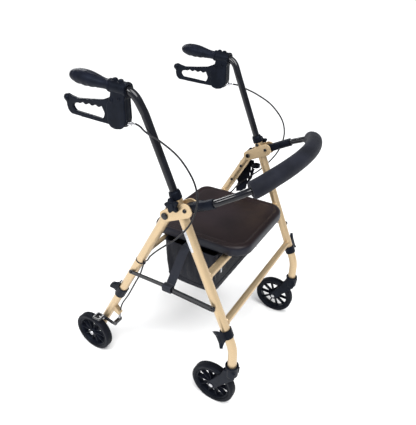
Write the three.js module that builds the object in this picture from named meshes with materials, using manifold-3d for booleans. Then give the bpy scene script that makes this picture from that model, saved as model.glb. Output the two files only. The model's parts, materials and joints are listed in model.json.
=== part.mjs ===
// Rollator walker: a folding four-wheeled walking frame with a seat, bag, backrest and loop brakes.
// Millimetres, +Z up, the user faces -Y. Side parts are drawn for the left side (+X) and mirrored.
// Heights are measured from the floor and depths from the upper front crossbar.
import * as THREE from 'three';
import { mergeVertices } from 'three/addons/utils/BufferGeometryUtils.js';
import Module from 'manifold-3d';

const wasm = await Module();
wasm.setup();

// ---------------------------------------------------------------- driving dimensions
const FOOTPRINT_MIDDLE = 176; // depth of the middle of the footprint, which is the origin
const GAP = 0.3; // clearance between touching pieces

const TRACK = 250; // from the middle plane to the plane of the legs
const LEG_RADIUS = 14.3;
const LEG_BORE = 12.3;
const LEG_SIDES = 12;
const LEG_TOP = [93, 708]; // depth, height
const LEG_LEAN = 0.412; // depth gained per height
const STEM_DEPTH = -92;
const LEG_FOOT = 180;

const HINGE = [121, 658]; // pivot of the rear frame
const REAR_AXLE = [458, 75];
const BACKREST_PIVOT = [57, 692];
const UPPER_BAR = { at: [4, 485], radius: 12.5 };
const LOWER_BAR = { at: [-58, 342], radius: 11 };
const REAR_BAR = { at: [216, 493], radius: 7.5 };

const WHEEL_RADIUS = 75;
const WHEEL_WIDTH = 27;
const WHEEL_SIDES = 24;
const SPOKES = 10;
const REAR_WHEEL_PLANE = 284;
const CASTER_TRAIL = 63;
const AXLE_RADIUS = 4;

const HANDLE_RADIUS = 11;
const GRIP_PLANE = 257;
const GRIP_START = [269, 976.5];
const GRIP_RISE = 0.09;
const LEVER_PIVOT = [266, 944];
const LEVER_HALF = 5;

const STAY_REAR = [264, 413];
const STAY_MIDDLE = [121, 413];
const STAY_FRONT = [-32, 405];

// ---------------------------------------------------------------- materials
const finish = (color, roughness, metalness) =>
  new THREE.MeshStandardMaterial({ color, roughness, metalness });
const champagne = finish(0xd9b983, 0.38, 0.75);
const glossBlack = finish(0x0d0e12, 0.16, 0.5);
const moulded = finish(0x15171d, 0.55, 0);
const rubber = finish(0x18191c, 0.8, 0);
const foam = finish(0x23242b, 0.85, 0);
const upholstery = finish(0x2a1f22, 0.4, 0);
const cloth = finish(0x14161c, 0.9, 0);
const webbing = finish(0x2c2f36, 0.9, 0);
const steel = finish(0xb9bcc0, 0.3, 0.9);

// ---------------------------------------------------------------- assembly
const walker = new THREE.Group();
walker.position.y = -FOOTPRINT_MIDDLE;

function add(name, geometry, material) {
  const mesh = new THREE.Mesh(geometry, material);
  mesh.name = name;
  walker.add(mesh);
  return mesh;
}

function addPair(name, geometry, material) {
  add(`left_${name}`, geometry, material);
  add(`right_${name}`, geometry, material).scale.x = -1;
}

// ---------------------------------------------------------------- solids
function solidOf(geometry) {
  const bare = geometry.clone();
  bare.deleteAttribute('normal');
  bare.deleteAttribute('uv');
  const merged = mergeVertices(bare, 1e-3);
  return new wasm.Manifold(new wasm.Mesh({
    numProp: 3,
    vertProperties: merged.attributes.position.array,
    triVerts: new Uint32Array(merged.index.array),
  }));
}

function geometryOf(solid) {
  const mesh = solid.getMesh();
  const geometry = new THREE.BufferGeometry();
  geometry.setAttribute('position', new THREE.BufferAttribute(mesh.vertProperties, mesh.numProp));
  geometry.setIndex(new THREE.BufferAttribute(mesh.triVerts, 1));
  geometry.computeVertexNormals();
  return geometry;
}

const joined = (first, ...others) =>
  geometryOf(others.reduce((sum, other) => sum.add(solidOf(other)), solidOf(first)));
const cut = (body, ...tools) =>
  geometryOf(tools.reduce((rest, tool) => rest.subtract(solidOf(tool)), solidOf(body)));

// ---------------------------------------------------------------- shapes
function polygon(radius, sides, turn = 0) {
  return Array.from({ length: sides }, (_, i) => {
    const angle = turn + (2 * Math.PI * i) / sides;
    return new THREE.Vector2(radius * Math.cos(angle), radius * Math.sin(angle));
  });
}

const disc = (radius, sides) => new THREE.Shape(polygon(radius, sides));

function ring(radius, bore, sides, boreSides = sides) {
  const shape = disc(radius, sides);
  shape.holes.push(new THREE.Path(polygon(bore, boreSides)));
  return shape;
}

const outline = (points) => new THREE.Shape(points.map(([a, b]) => new THREE.Vector2(a, b)));

// An outline around two round ends, each given as centre and radius.
function link([ay, az], aRadius, [by, bz], bRadius, arcSteps = 8) {
  const heading = Math.atan2(bz - az, by - ay);
  const arc = (y, z, radius, from) => Array.from({ length: arcSteps + 1 }, (_, i) => {
    const angle = from + (Math.PI * i) / arcSteps;
    return [y + radius * Math.cos(angle), z + radius * Math.sin(angle)];
  });
  return outline([
    ...arc(by, bz, bRadius, heading - Math.PI / 2),
    ...arc(ay, az, aRadius, heading + Math.PI / 2),
  ]);
}

// A rectangle around a centre, with one radius for its front corners and one for its rear corners.
function roundedRectangle(halfWidth, front, rear, frontRadius, rearRadius) {
  const shape = new THREE.Shape();
  shape.moveTo(halfWidth - frontRadius, front);
  shape.absarc(halfWidth - frontRadius, front + frontRadius, frontRadius, -Math.PI / 2, 0);
  shape.absarc(halfWidth - rearRadius, rear - rearRadius, rearRadius, 0, Math.PI / 2);
  shape.absarc(rearRadius - halfWidth, rear - rearRadius, rearRadius, Math.PI / 2, Math.PI);
  shape.absarc(frontRadius - halfWidth, front + frontRadius, frontRadius, Math.PI, 1.5 * Math.PI);
  return shape;
}

// Extrudes a depth-height outline sideways, from one distance off the middle plane to another.
function slab(shape, fromX, toX) {
  const geometry = new THREE.ExtrudeGeometry(shape, { depth: toX - fromX, bevelEnabled: false });
  const axes = new THREE.Matrix4().makeBasis(
    new THREE.Vector3(0, 1, 0), new THREE.Vector3(0, 0, 1), new THREE.Vector3(1, 0, 0));
  return geometry.applyMatrix4(axes).translate(fromX, 0, 0);
}

// Extrudes a width-depth outline upward.
const layer = (shape, fromZ, toZ) =>
  new THREE.ExtrudeGeometry(shape, { depth: toZ - fromZ, bevelEnabled: false, curveSegments: 6 })
    .translate(0, 0, fromZ);

// A solid turned about the X axis at [y, z]. The profile holds [radius, x] pairs, outside going up.
function turnedX(profile, [y, z], sides) {
  const points = profile.map(([radius, x]) => new THREE.Vector2(radius, x));
  return new THREE.LatheGeometry(points, sides).rotateZ(-Math.PI / 2).translate(0, y, z);
}

// A solid turned about an axis that starts at a point and runs along a direction.
function turnedAlong(profile, start, direction, sides) {
  const points = profile.map(([radius, height]) => new THREE.Vector2(radius, height));
  const turn = new THREE.Quaternion().setFromUnitVectors(
    new THREE.Vector3(0, 1, 0), direction.clone().normalize());
  return new THREE.LatheGeometry(points, sides).applyQuaternion(turn).translate(start.x, start.y, start.z);
}

const rod = (place, fromX, toX, radius, sides = 8) =>
  turnedX([[0, fromX], [radius, fromX], [radius, toX], [0, toX]], place, sides);

const block = (low, high) => new THREE.BoxGeometry(high[0] - low[0], high[1] - low[1], high[2] - low[2])
  .translate((low[0] + high[0]) / 2, (low[1] + high[1]) / 2, (low[2] + high[2]) / 2);

// ---------------------------------------------------------------- tubes
// A route with a station at each of its points, so a straight run needs none in between.
class Route extends THREE.Curve {
  constructor(points) {
    super();
    this.points = points;
    this.last = points.length - 1;
  }

  getPoint(t, target = new THREE.Vector3()) {
    const from = Math.min(Math.floor(t * this.last + 1e-9), this.last - 1);
    return target.lerpVectors(this.points[from], this.points[from + 1], t * this.last - from);
  }

  getPointAt(u, target) {
    return this.getPoint(u, target);
  }

  getTangentAt(u, target = new THREE.Vector3()) {
    const here = Math.round(u * this.last);
    target.set(0, 0, 0);
    for (const from of [here - 1, here]) {
      if (from < 0 || from >= this.last) continue;
      target.add(this.points[from + 1].clone().sub(this.points[from]).normalize());
    }
    return target.normalize();
  }
}

// Straight runs between corners, with each inner corner rounded to a bend radius.
function bent(corners, bendRadius, steps = 5) {
  const points = [corners[0]];
  for (let i = 1; i < corners.length - 1; i += 1) {
    const here = corners[i];
    const back = corners[i - 1].clone().sub(here).normalize();
    const ahead = corners[i + 1].clone().sub(here).normalize();
    const reach = bendRadius * Math.tan((Math.PI - back.angleTo(ahead)) / 2);
    const start = here.clone().addScaledVector(back, reach);
    const end = here.clone().addScaledVector(ahead, reach);
    points.push(...new THREE.QuadraticBezierCurve3(start, here, end).getPoints(steps));
  }
  points.push(corners[corners.length - 1]);
  return points;
}

const tube = (points, section) => new THREE.ExtrudeGeometry(section, {
  steps: points.length - 1, bevelEnabled: false, extrudePath: new Route(points),
});

const smooth = (points, steps) =>
  new THREE.CatmullRomCurve3(points, false, 'centripetal').getSpacedPoints(steps);
const at = (x, [y, z]) => new THREE.Vector3(x, y, z);

// ---------------------------------------------------------------- front frame
const legDepth = (z) => LEG_TOP[0] - LEG_LEAN * (LEG_TOP[1] - z);
const legAxis = new THREE.Vector3(0, LEG_LEAN, 1).normalize();
const kneeHeight = LEG_TOP[1] - (LEG_TOP[0] - STEM_DEPTH) / LEG_LEAN;
const legRoute = bent([
  at(TRACK, LEG_TOP), at(TRACK, [STEM_DEPTH, kneeHeight]), at(TRACK, [STEM_DEPTH, LEG_FOOT]),
], 130, 4);
const knobPlace = [legDepth(702), 702];
const KNOB_SHANK = 4;

function frontLeg() {
  const holes = [
    rod(knobPlace, TRACK, TRACK + 20, KNOB_SHANK + 0.4),
    rod(STAY_FRONT, TRACK, TRACK + 20, AXLE_RADIUS + 0.4),
  ];
  return cut(tube(legRoute, ring(LEG_RADIUS, LEG_BORE, LEG_SIDES)), ...holes);
}

// A bar between the two legs, its ends coped round the tubes.
function crossbar({ at: place, radius }, route) {
  const bar = rod(place, -TRACK + LEG_BORE, TRACK - LEG_BORE, radius, LEG_SIDES);
  const left = tube(route, disc(LEG_RADIUS + GAP, LEG_SIDES));
  const right = left.clone().applyMatrix4(new THREE.Matrix4().makeScale(-1, 1, 1));
  right.setIndex(Array.from({ length: right.attributes.position.count }, (_, i) => i).reverse());
  return cut(bar, left, right);
}

const PLATE_INSIDE = LEG_RADIUS + 0.5;
const PLATE_THICKNESS = 4;
const PIN_RADIUS = 5;

function hingePlate(fromX) {
  return cut(
    slab(link(HINGE, 17, BACKREST_PIVOT, 21), fromX, fromX + PLATE_THICKNESS),
    rod(HINGE, fromX - 1, fromX + PLATE_THICKNESS + 1, PIN_RADIUS + 0.6),
    rod(BACKREST_PIVOT, fromX - 1, fromX + PLATE_THICKNESS + 1, PIN_RADIUS + 0.6),
  );
}

function heightCollar() {
  const bore = HANDLE_RADIUS + 0.5;
  const profile = [
    [bore, -28], [bore + 0.35, -28], [bore + 0.35, GAP], [16.2, GAP], [16.2, 20], [15, 25], [bore, 25], [bore, -28],
  ];
  return turnedAlong(profile, at(TRACK, LEG_TOP), legAxis, LEG_SIDES);
}

// A clip round a leg with a wing on it. Drawn along +Z with the wing outward, then turned and leaned.
const FRONT_CLIP = {
  band: [-14, 14],
  wing: [[16, -12], [28, -12], [38, -14], [47, -20], [42, -4], [43, 22], [50, 44], [38, 36], [27, 24], [16, 13]],
  turn: 0,
};
const REAR_CLIP = {
  band: [-28, 16],
  wing: [[16, -18], [26, -13], [40, -13], [43, -8], [41, 4], [37, 12], [28, 17], [21, 24], [19, 38], [16, 45]],
  turn: (70 * Math.PI) / 180,
};

function guardClip({ band: [low, high], wing, turn }, [y, z], lean) {
  const band = new THREE.ExtrudeGeometry(ring(LEG_RADIUS + 4, LEG_RADIUS + 0.4, LEG_SIDES), {
    depth: high - low, bevelEnabled: false,
  }).translate(0, 0, low);
  const plate = new THREE.ExtrudeGeometry(outline(wing), { depth: 11, bevelEnabled: false })
    .rotateX(Math.PI / 2).translate(0, 5.5, 0).rotateZ(turn);
  return joined(band, plate).rotateX(-Math.atan(lean)).translate(TRACK, y, z);
}

// Five round lobes and a screw that ends in the wall of the leg.
function starKnob() {
  const lobes = Array.from({ length: 40 }, (_, i) => {
    const angle = (2 * Math.PI * i) / 40;
    const radius = 18 + 4 * Math.cos(5 * angle);
    return [knobPlace[0] + radius * Math.cos(angle), knobPlace[1] + radius * Math.sin(angle)];
  });
  const face = TRACK + PLATE_INSIDE + PLATE_THICKNESS + 2;
  return joined(
    slab(outline(lobes), face, face + 11),
    rod(knobPlace, TRACK + LEG_RADIUS - 0.5, face + 1, KNOB_SHANK),
    rod(knobPlace, face + 10, face + 14, 9),
  );
}

addPair('front_leg', frontLeg(), champagne);
add('upper_front_crossbar', crossbar(UPPER_BAR, legRoute), champagne);
add('lower_front_crossbar', crossbar(LOWER_BAR, legRoute), champagne);
addPair('outer_hinge_plate', hingePlate(TRACK + PLATE_INSIDE), champagne);
addPair('inner_hinge_plate', hingePlate(TRACK - PLATE_INSIDE - PLATE_THICKNESS), champagne);
addPair('height_collar', heightCollar(), moulded);
addPair('front_guard_clip', guardClip(FRONT_CLIP, [legDepth(314), 314], LEG_LEAN), moulded);
addPair('star_knob', starKnob(), moulded);

// ---------------------------------------------------------------- rear frame
const rearLean = (REAR_AXLE[0] - HINGE[0]) / (HINGE[1] - REAR_AXLE[1]);
const rearDepth = (z) => HINGE[0] + rearLean * (HINGE[1] - z);
const rearAxis = new THREE.Vector3(0, -rearLean, 1).normalize();
const BRAKE_PIVOT = [rearDepth(150), 150];
const rearLegRoute = [
  at(TRACK, HINGE).addScaledVector(rearAxis, 16),
  at(TRACK, REAR_AXLE).addScaledVector(rearAxis, -16),
];

// The leg tube with the cable stop welded to its front.
function rearLeg() {
  const stop = slab(outline([[364, 214], [350, 197], [346, 189], [352, 180], [376, 191]]), TRACK - 8, TRACK + 8);
  const cableHole = new THREE.CylinderGeometry(1.6, 1.6, 40, 8).rotateX(Math.PI / 2).rotateX(0.3)
    .translate(TRACK, 353, 189);
  const holes = [
    rod(HINGE, TRACK - 20, TRACK + 20, PIN_RADIUS + 0.6),
    rod(REAR_AXLE, TRACK - 20, TRACK + 20, AXLE_RADIUS + 0.4),
    rod(STAY_REAR, TRACK, TRACK + 20, AXLE_RADIUS + 0.4),
    rod(BRAKE_PIVOT, TRACK, TRACK + 20, AXLE_RADIUS + 0.4),
  ];
  return cut(joined(tube(rearLegRoute, ring(LEG_RADIUS, LEG_BORE, LEG_SIDES)), stop), cableHole, ...holes);
}

function foldPin() {
  const head = TRACK + PLATE_INSIDE + PLATE_THICKNESS + GAP;
  const nut = 2 * TRACK - head;
  const profile = [
    [0, nut - 5], [8, nut - 5], [8, nut], [PIN_RADIUS, nut], [PIN_RADIUS, head], [10, head], [10, head + 3],
    [8, head + 5], [0, head + 5],
  ];
  return turnedX(profile, HINGE, 16);
}

addPair('rear_leg', rearLeg(), champagne);
add('rear_crossbar', crossbar(REAR_BAR, rearLegRoute), champagne);
addPair('rear_guard_clip', guardClip(REAR_CLIP, [rearDepth(303), 303], -rearLean), moulded);
addPair('fold_pin', foldPin(), glossBlack);

// ---------------------------------------------------------------- wheels
const flatToFloor = Math.PI / WHEEL_SIDES;
const cornerRadius = WHEEL_RADIUS / Math.cos(flatToFloor);
const half = WHEEL_WIDTH / 2;
const RIM_RADIUS = 60;

function tyre(place, plane) {
  const profile = [
    [RIM_RADIUS + 0.7, -9], [68, -half], [73, -half + 1], [cornerRadius, -8], [cornerRadius, 8], [73, half - 1],
    [68, half], [RIM_RADIUS + 0.7, 9], [RIM_RADIUS + 0.7, -9],
  ];
  return turnedX(profile, [0, 0], WHEEL_SIDES).rotateX(flatToFloor).translate(plane, ...place);
}

function rim(place, plane) {
  const band = [[54, -10], [RIM_RADIUS, -10], [RIM_RADIUS, 10], [54, 10], [54, -10]];
  const hub = [[4.6, -12.5], [14, -12.5], [14, 12.5], [4.6, 12.5], [4.6, -12.5]];
  const spokes = Array.from({ length: SPOKES }, (_, i) => block([-6, -3, 10], [6, 3, 56])
    .rotateX((2 * Math.PI * i) / SPOKES));
  const bore = rod([0, 0], -20, 20, 4.6);
  const body = joined(turnedX(band, [0, 0], WHEEL_SIDES), turnedX(hub, [0, 0], 12), ...spokes);
  return cut(body, bore).rotateX(flatToFloor).translate(plane, ...place);
}

const frontWheel = [STEM_DEPTH + CASTER_TRAIL, WHEEL_RADIUS];
const ARM_INSIDE = half + 0.7;
const ARM_THICKNESS = 3.8;

// The barrel that takes the foot of the leg, the stem inside it, and an arm on each side of the wheel.
function fork() {
  const barrel = turnedAlong([
    [0, 145], [15, 145], [20, 152], [20, 190], [18.5, 192], [15.2, 192], [15.2, 177], [8, 177], [8, 222], [0, 222],
  ], new THREE.Vector3(TRACK, STEM_DEPTH, 0), new THREE.Vector3(0, 0, 1), 14);
  const armShape = outline([
    [STEM_DEPTH - 19, 176], [STEM_DEPTH - 17, 150], [-60, 92], [-44, 67], [-36, 62], [-26, 61], [-17, 68], [-15, 79],
    [-22, 90], [-62, 148], [STEM_DEPTH + 19, 176],
  ]);
  const arms = [-ARM_INSIDE - ARM_THICKNESS, ARM_INSIDE]
    .map((from) => slab(armShape, TRACK + from, TRACK + from + ARM_THICKNESS));
  const pocket = turnedAlong([[8, 177], [15.2, 177], [15.2, 193], [8, 193], [8, 177]],
    new THREE.Vector3(TRACK, STEM_DEPTH, 0), new THREE.Vector3(0, 0, 1), 14);
  const axleHole = rod(frontWheel, TRACK - 25, TRACK + 25, AXLE_RADIUS + 0.4);
  return cut(joined(barrel, ...arms), pocket, axleHole);
}

function frontAxle() {
  const face = ARM_INSIDE + ARM_THICKNESS + GAP;
  return turnedX([
    [0, -face - 1.4], [7, -face - 1.4], [7, -face], [AXLE_RADIUS, -face], [AXLE_RADIUS, face], [7, face],
    [7, face + 1.4], [0, face + 1.4],
  ], frontWheel, 12).translate(TRACK, 0, 0);
}

function rearAxle() {
  const leg = TRACK + LEG_RADIUS + 0.5;
  const inner = TRACK - LEG_RADIUS - 0.5;
  const hub = REAR_WHEEL_PLANE - half;
  return turnedX([
    [0, inner - 6], [7.5, inner - 6], [7.5, inner], [AXLE_RADIUS, inner], [AXLE_RADIUS, leg], [8, leg],
    [8, hub - GAP], [AXLE_RADIUS, hub - GAP], [AXLE_RADIUS, hub + WHEEL_WIDTH + GAP], [8, hub + WHEEL_WIDTH + GAP],
    [8, hub + WHEEL_WIDTH + 4], [0, hub + WHEEL_WIDTH + 5],
  ], REAR_AXLE, 12);
}

const rearWheel = [REAR_AXLE[0], WHEEL_RADIUS];
addPair('caster_fork', fork(), moulded);
addPair('front_axle', frontAxle(), steel);
addPair('front_rim', rim(frontWheel, TRACK), moulded);
addPair('front_tyre', tyre(frontWheel, TRACK), rubber);
addPair('rear_axle', rearAxle(), steel);
addPair('rear_rim', rim(rearWheel, REAR_WHEEL_PLANE), moulded);
addPair('rear_tyre', tyre(rearWheel, REAR_WHEEL_PLANE), rubber);

// ---------------------------------------------------------------- brakes at the rear wheels
// A plate beside the leg, a front end under the cable stop, and a frame over the tyre with its shoe.
function brakeArm() {
  const plateFrom = TRACK + LEG_RADIUS + 4.9;
  const plate = slab(outline([
    [352, 147], [360, 139], [378, 140], [402, 146], [413, 139.5], [424, 146], [440, 154], [440, 163], [408, 163],
    [402, 160], [378, 154], [364, 151], [363, 160], [353, 160],
  ]), plateFrom, plateFrom + 4);
  const outer = REAR_WHEEL_PLANE + half + 1.5;
  const frame = block([plateFrom, 408, 156], [outer, 440, 163]);
  const window = block([plateFrom + 5, 416, 150], [outer - 5, 434, 170]);
  const shoe = block([REAR_WHEEL_PLANE - 10, 432, 147], [REAR_WHEEL_PLANE + 10, 439, 158]);
  const tread = rod(rearWheel, REAR_WHEEL_PLANE - 20, REAR_WHEEL_PLANE + 20, cornerRadius + 1.3, 48);
  const front = block([TRACK - 7, 353, 148], [plateFrom + 1, 363, 160]);
  const pivot = rod(BRAKE_PIVOT, TRACK + LEG_BORE - 1, plateFrom + 7, AXLE_RADIUS);
  return cut(joined(cut(joined(plate, frame), window), cut(shoe, tread), front, pivot));
}

addPair('brake_arm', brakeArm(), glossBlack);

// ---------------------------------------------------------------- fold stays
// The halves sit side by side, so that they pass each other as the frame folds.
const STAY_REAR_FACE = TRACK + LEG_RADIUS + 0.7;
const STAY_FRONT_FACE = STAY_REAR_FACE + 4.8;

addPair('rear_stay', joined(
  slab(link(STAY_REAR, 7, STAY_MIDDLE, 7), STAY_REAR_FACE, STAY_REAR_FACE + 4),
  rod(STAY_REAR, TRACK + LEG_BORE - 1, STAY_REAR_FACE + 7, AXLE_RADIUS),
), glossBlack);
addPair('front_stay', joined(
  slab(link(STAY_FRONT, 9, STAY_MIDDLE, 9), STAY_FRONT_FACE, STAY_FRONT_FACE + 5),
  rod(STAY_FRONT, TRACK + LEG_BORE - 1, STAY_FRONT_FACE + 8, AXLE_RADIUS),
), glossBlack);

// ---------------------------------------------------------------- handles
const bendPlace = [204, GRIP_START[1] - GRIP_RISE * (GRIP_START[0] - 204)];
const gripAxis = new THREE.Vector3(0, 1, GRIP_RISE).normalize();
const gripStart = at(GRIP_PLANE, GRIP_START);
const splay = at(TRACK, LEG_TOP).addScaledVector(legAxis, 228);
const handleRoute = bent([
  at(TRACK, LEG_TOP).addScaledVector(legAxis, -190),
  splay,
  at(GRIP_PLANE, bendPlace),
  gripStart.clone().addScaledVector(gripAxis, 118),
], 46);

// Palm grip: a collar at its front, a slim neck and a fuller rear end.
function grip() {
  const bore = HANDLE_RADIUS + 0.5;
  return turnedAlong([
    [0, 124], [bore, 124], [bore, 0], [15.5, 0], [17, 2], [17, 8], [14.2, 12], [14.6, 30], [17.5, 52], [20.2, 78],
    [20.4, 100], [18, 122], [13, 134], [6, 139], [0, 140],
  ], gripStart, gripAxis, 16);
}

const HOUSING_HALF = 14.5;

// The housing clamps the tube at its top and holds the lever in a slot that opens to the rear.
function leverHousing() {
  const body = slab(outline([
    [264, 870], [280, 874], [286, 884], [286, 928], [277, 942], [271, 952], [268, 962], [268, 989], [262, 992],
    [226, 990], [219, 984], [219, 966], [226, 948], [226, 901], [231, 884], [245, 873],
  ]), GRIP_PLANE - HOUSING_HALF, GRIP_PLANE + HOUSING_HALF);
  const ferrule = turnedAlong([[0, 0], [4, 0], [4, 12], [2.8, 14], [2.8, 25], [0, 25]],
    at(GRIP_PLANE, [233, 888]), new THREE.Vector3(0, -1, 0.12), 12);
  const grippedTube = tube(handleRoute, disc(HANDLE_RADIUS + 0.8, 12));
  const collarRoom = turnedAlong([[0, -GAP], [18, -GAP], [18, 20], [0, 20]], gripStart, gripAxis, 16);
  const slot = block([GRIP_PLANE - LEVER_HALF - 0.6, 250, 850], [GRIP_PLANE + LEVER_HALF + 0.6, 300, 959]);
  const pinHole = rod(LEVER_PIVOT, GRIP_PLANE - 20, GRIP_PLANE + 20, 3.9);
  return cut(joined(body, ferrule), grippedTube, collarRoom, slot, pinHole);
}

// A closed loop for the fingers, with a ball at its rear end and a wavy upper edge inside.
function brakeLever() {
  const shape = outline([
    [257, 951], [255, 930], [260, 892], [270, 878], [292, 876], [339, 878], [389, 881], [425, 883], [435, 892],
    [438, 905], [436, 914], [444, 918], [447, 926], [441, 934], [430, 937], [418, 933], [397, 929], [350, 933],
    [306, 938], [285, 946], [268, 954],
  ]);
  const fingers = Array.from({ length: 17 }, (_, i) => [311 + 5 * i, 918.5 + 2 * Math.cos((i * Math.PI) / 2.7)]);
  shape.holes.push(new THREE.Path([
    [303, 903], ...fingers, [410, 914], [417, 905], [408, 894], [360, 891], [311, 887],
  ].map(([y, z]) => new THREE.Vector2(y, z))));
  return joined(
    slab(shape, GRIP_PLANE - LEVER_HALF, GRIP_PLANE + LEVER_HALF),
    rod(LEVER_PIVOT, GRIP_PLANE - HOUSING_HALF - 0.6, GRIP_PLANE + HOUSING_HALF + 0.6, 3.4),
  );
}

addPair('handle_tube', tube(handleRoute, ring(HANDLE_RADIUS, HANDLE_RADIUS - 1.5, LEG_SIDES, 6)), glossBlack);
addPair('grip', grip(), rubber);
addPair('lever_housing', leverHousing(), moulded);
addPair('brake_lever', brakeLever(), moulded);

// ---------------------------------------------------------------- brake cables
// From the ferrule forward and down past the hinge, along the rear leg, to the cable stop.
const CABLE_RADIUS = 2.5;
const cableRoute = smooth([
  at(257, [205, 891]), at(262, [188, 889]), at(269, [164, 880]), at(271, [118, 865]), at(274, [66, 838]),
  at(278, [26, 795]), at(279, [12, 753]), at(279, [16, 712]), at(278, [31, 672]), at(275, [58, 631]),
  at(272, [90, 594]), at(271, [118, 568]), at(271, [150, 538]), at(271, [178, 508]), at(266, [194, 484]),
  at(258, [215, 461]), at(252, [240, 405]), at(250, [270, 350]), at(250, [302, 290]), at(250, [334, 238]),
  at(250, [348, 201]),
], 40);
addPair('brake_cable', tube(cableRoute, disc(CABLE_RADIUS, 8)), rubber);

// ---------------------------------------------------------------- seat
const SEAT = { halfWidth: 158, front: -66, rear: 258, bottom: 505, top: 545 };
const boardTop = SEAT.bottom + 5;

// The board with two saddles that hook over the upper crossbar.
function seatBoard() {
  const inset = 7;
  const board = layer(
    roundedRectangle(SEAT.halfWidth - inset, SEAT.front + inset, SEAT.rear - inset, 50, 25), SEAT.bottom, boardTop);
  const [depth, height] = UPPER_BAR.at;
  const saddles = [-112, 88].flatMap((from) => [
    rod(UPPER_BAR.at, from, from + 24, UPPER_BAR.radius + 3, 12),
    block([from, depth - 12, height + 7], [from + 24, depth + 12, SEAT.bottom + 1]),
  ]);
  const bar = rod(UPPER_BAR.at, -200, 200, UPPER_BAR.radius + 0.8, 24);
  const mouth = block([-200, depth - 9, height - 30], [200, depth + 9, height]);
  return cut(joined(board, ...saddles), bar, mouth);
}

const padShape = roundedRectangle(SEAT.halfWidth, SEAT.front, SEAT.rear, 56, 32);
const seatPad = new THREE.ExtrudeGeometry(padShape, {
  depth: SEAT.top - boardTop - GAP - 16, bevelSize: 8, bevelThickness: 8, bevelOffset: -8, bevelSegments: 2,
  curveSegments: 5,
}).translate(0, 0, boardTop + GAP + 8);
add('seat_board', seatBoard(), moulded);
add('seat_pad', seatPad, upholstery);

// ---------------------------------------------------------------- bag
const BAG = { halfWidth: 168, front: 20, rear: 207, bottom: 348, top: 497, wall: 4 };

// An open-topped bag with two sleeves round each bar that it hangs from.
function bag() {
  const shell = block([-BAG.halfWidth, BAG.front, BAG.bottom], [BAG.halfWidth, BAG.rear, BAG.top]);
  const inside = block([BAG.wall - BAG.halfWidth, BAG.front + BAG.wall, BAG.bottom + BAG.wall],
    [BAG.halfWidth - BAG.wall, BAG.rear - BAG.wall, BAG.top + 10]);
  const sleeves = [];
  const bars = [];
  for (const { at: [depth, height], radius } of [UPPER_BAR, REAR_BAR]) {
    const reach = Math.min(Math.abs(BAG.front - depth), Math.abs(BAG.rear - depth)) + 1;
    for (const from of [-70, 40]) sleeves.push(rod([depth, height], from, from + 30, reach, LEG_SIDES));
    bars.push(rod([depth, height], -120, 120, radius + 0.4, LEG_SIDES));
  }
  return cut(joined(cut(shell, inside), ...sleeves), ...bars);
}
add('bag', bag(), cloth);

// ---------------------------------------------------------------- lift strap
// Webbing from one stay up under the seat and down to the other stay.
const STRAP = { width: 30, thickness: 2, depth: 106 };
const strapLine = [[-258, 416], [-186, 492], [-170, 501], [170, 501], [186, 492], [258, 416]];
function liftStrap() {
  const upper = strapLine.map(([x, z]) => [x, z + STRAP.thickness / 2]);
  const lower = strapLine.map(([x, z]) => [x, z - STRAP.thickness / 2]);
  return new THREE.ExtrudeGeometry(outline([...lower, ...upper.reverse()]), {
    depth: STRAP.width, bevelEnabled: false,
  }).rotateX(Math.PI / 2).translate(0, STRAP.depth + STRAP.width, 0);
}
add('lift_strap', liftStrap(), webbing);

// ---------------------------------------------------------------- backrest
const BACK = { tube: 9.5, foam: 24 };
const backPoints = [[251, 44, 698], [256, -16, 727], [245, -50, 744], [229, -82, 760], [203, -108, 773],
  [150, -131, 786], [76, -150, 796]];
const backCurve = new THREE.CatmullRomCurve3([
  ...backPoints.map(([x, y, z]) => new THREE.Vector3(x, y, z)),
  new THREE.Vector3(0, -157, 800),
  ...backPoints.map(([x, y, z]) => new THREE.Vector3(-x, y, z)).reverse(),
], false, 'centripetal');
const backLine = backCurve.getSpacedPoints(28);
const foamLine = backLine.slice(6, 23);
add('backrest_tube', tube(backLine, disc(BACK.tube, 10)), glossBlack);
add('backrest_foam', tube(foamLine, ring(BACK.foam, BACK.tube + 1, 14, 10)), foam);

// The moulded end that turns on the pin between the hinge plates and takes the end of the tube.
function backrestSocket() {
  const cheek = slab(link(BACKREST_PIVOT, 12, [20, 710], 11), TRACK - 13, TRACK + 13);
  const reach = PLATE_INSIDE + PLATE_THICKNESS + 1;
  const heel = rod(BACKREST_PIVOT, TRACK - reach, TRACK + reach, PIN_RADIUS, 12);
  return cut(joined(cheek, heel), tube(backLine.slice(0, 4), disc(BACK.tube + 0.5, 10)));
}
addPair('backrest_socket', backrestSocket(), moulded);

// ---------------------------------------------------------------- stick holder
// A plate on two spacers outside the left rear leg, clear of the stays, with a level ring at its upper front.
const HOLDER_INSIDE = STAY_FRONT_FACE + 8.5;
const HOLDER_RING = { at: [281, 108], radius: 15, bore: 9.5, low: 599, high: 611 };

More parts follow.
